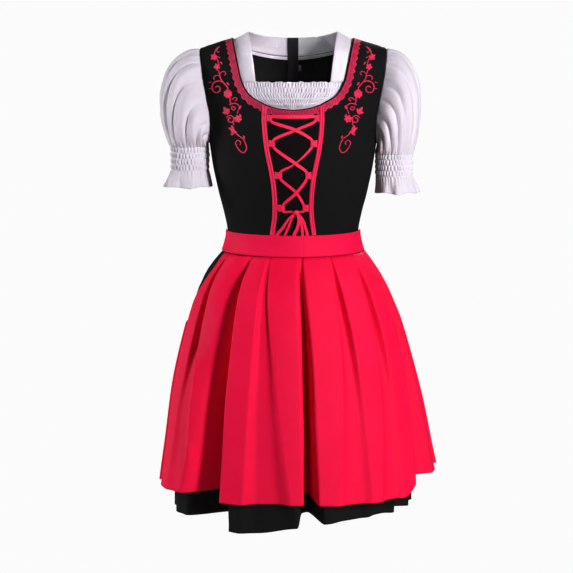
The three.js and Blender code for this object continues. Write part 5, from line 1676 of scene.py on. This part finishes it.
x = np.linspace(TAPE_HALF, -TAPE_HALF, 21)
z = np.linspace(ZIP_END_Z, ZIP_TOP_Z, 240)[:, None] + 0 * x
crease = -0.7 * np.exp(-((z + 12) / 1.6) ** 2) + 0.25 * np.cos(np.pi * x / 4.75)
inner_face = back_middle(x + 0 * z, z, TAPE_OUT - TAPE_CLOTH + 0.4 * crease)
outer_face = back_middle(x + 0 * z, z, TAPE_OUT + 0 * z)
make_piece("zip_tape_cloth", [slab(inner_face, outer_face)], "zip_black", ("zip_tape",))

TEETH_TOP_Z, TOOTH_PITCH = -60, 2.6
teeth = []
for number, z_tooth in enumerate(np.arange(ZIP_END_Z + 1, TEETH_TOP_Z, TOOTH_PITCH)):
    side = 1 if number % 2 else -1
    x = np.array([0.9, 0.2, -0.5]) * side
    z = z_tooth + np.array([-0.85, 0.85])[:, None] + 0 * x
    x = (x + 0 * z)[:, ::side]
    teeth.append(slab(back_middle(x, z, TAPE_OUT + 1.0), back_middle(x, z, 1.0 + 0.3 * (np.abs(x) < 0.4))))
z = np.linspace(ZIP_END_Z, TEETH_TOP_Z, 120)[:, None]
x = np.array([0.45, -0.45]) + 0 * z
teeth.append(slab(back_middle(x, z + 0 * x, TAPE_OUT + 1.0), back_middle(x, z + 0 * x, 0.2)))
make_piece("zip_teeth_moulded", teeth, "zip_black", ("zip_teeth",))
print("zip teeth:", len(teeth) - 1)

# %% Slider and pull
def painted_metal(name):
    """Black enamel on cast metal, a little worn."""
    material, tree, shader = new_material(name)
    places = {"Vector": wire(tree, "ShaderNodeTexCoord").outputs["Object"], "Size": 0.002}
    tone = wire(tree, "ShaderNodeGroup", places, node_tree=TONE).outputs
    scuffed = maths(tree, "GREATER_THAN", tone["Tone"], 0.62)
    colour = blend_colours(tree, maths(tree, "MULTIPLY", scuffed, 0.5), srgb(24, 24, 26), srgb(92, 92, 96))
    tree.links.new(colour, shader.inputs["Base Color"])
    gloss = maths(tree, "ADD", maths(tree, "MULTIPLY", tone["Tone"], 0.3), 0.22)
    tree.links.new(gloss, shader.inputs["Roughness"])
    tree.links.new(maths(tree, "MULTIPLY", scuffed, 0.7), shader.inputs["Metallic"])
    bumped(tree, shader, tone["Tone"], 0.00005)
    return material


enamel = painted_metal("zip_enamel")
for name in ("zip_slider", "zip_pull"):
    node = bpy.data.objects[name]
    node.data.materials.clear()
    node.data.materials.append(enamel)

# %% Label
LABEL_X, LABEL_Z = (16.8, 11.6), (-65, -53.5)
x = np.linspace(*LABEL_X, 10)
up = np.linspace(0, 1, 18)[:, None] + 0 * x
bow = 0.25 * np.sin(np.pi * up)
faces = [on_back(x + 0 * up, mix(*LABEL_Z, up), out - bow) for out in (-1.9, -1.4)]
make_piece("label_tape", [slab(*faces)], "label_white", ("label",))

# %% [markdown]
# ## Sizes
# The cloth stays within a finger's width of the solids. A small helper rounds the corners of a box to five
# places.

# %% Sizes
def plain(box):
    return [[round(float(c), 5) for c in corner] for corner in box]
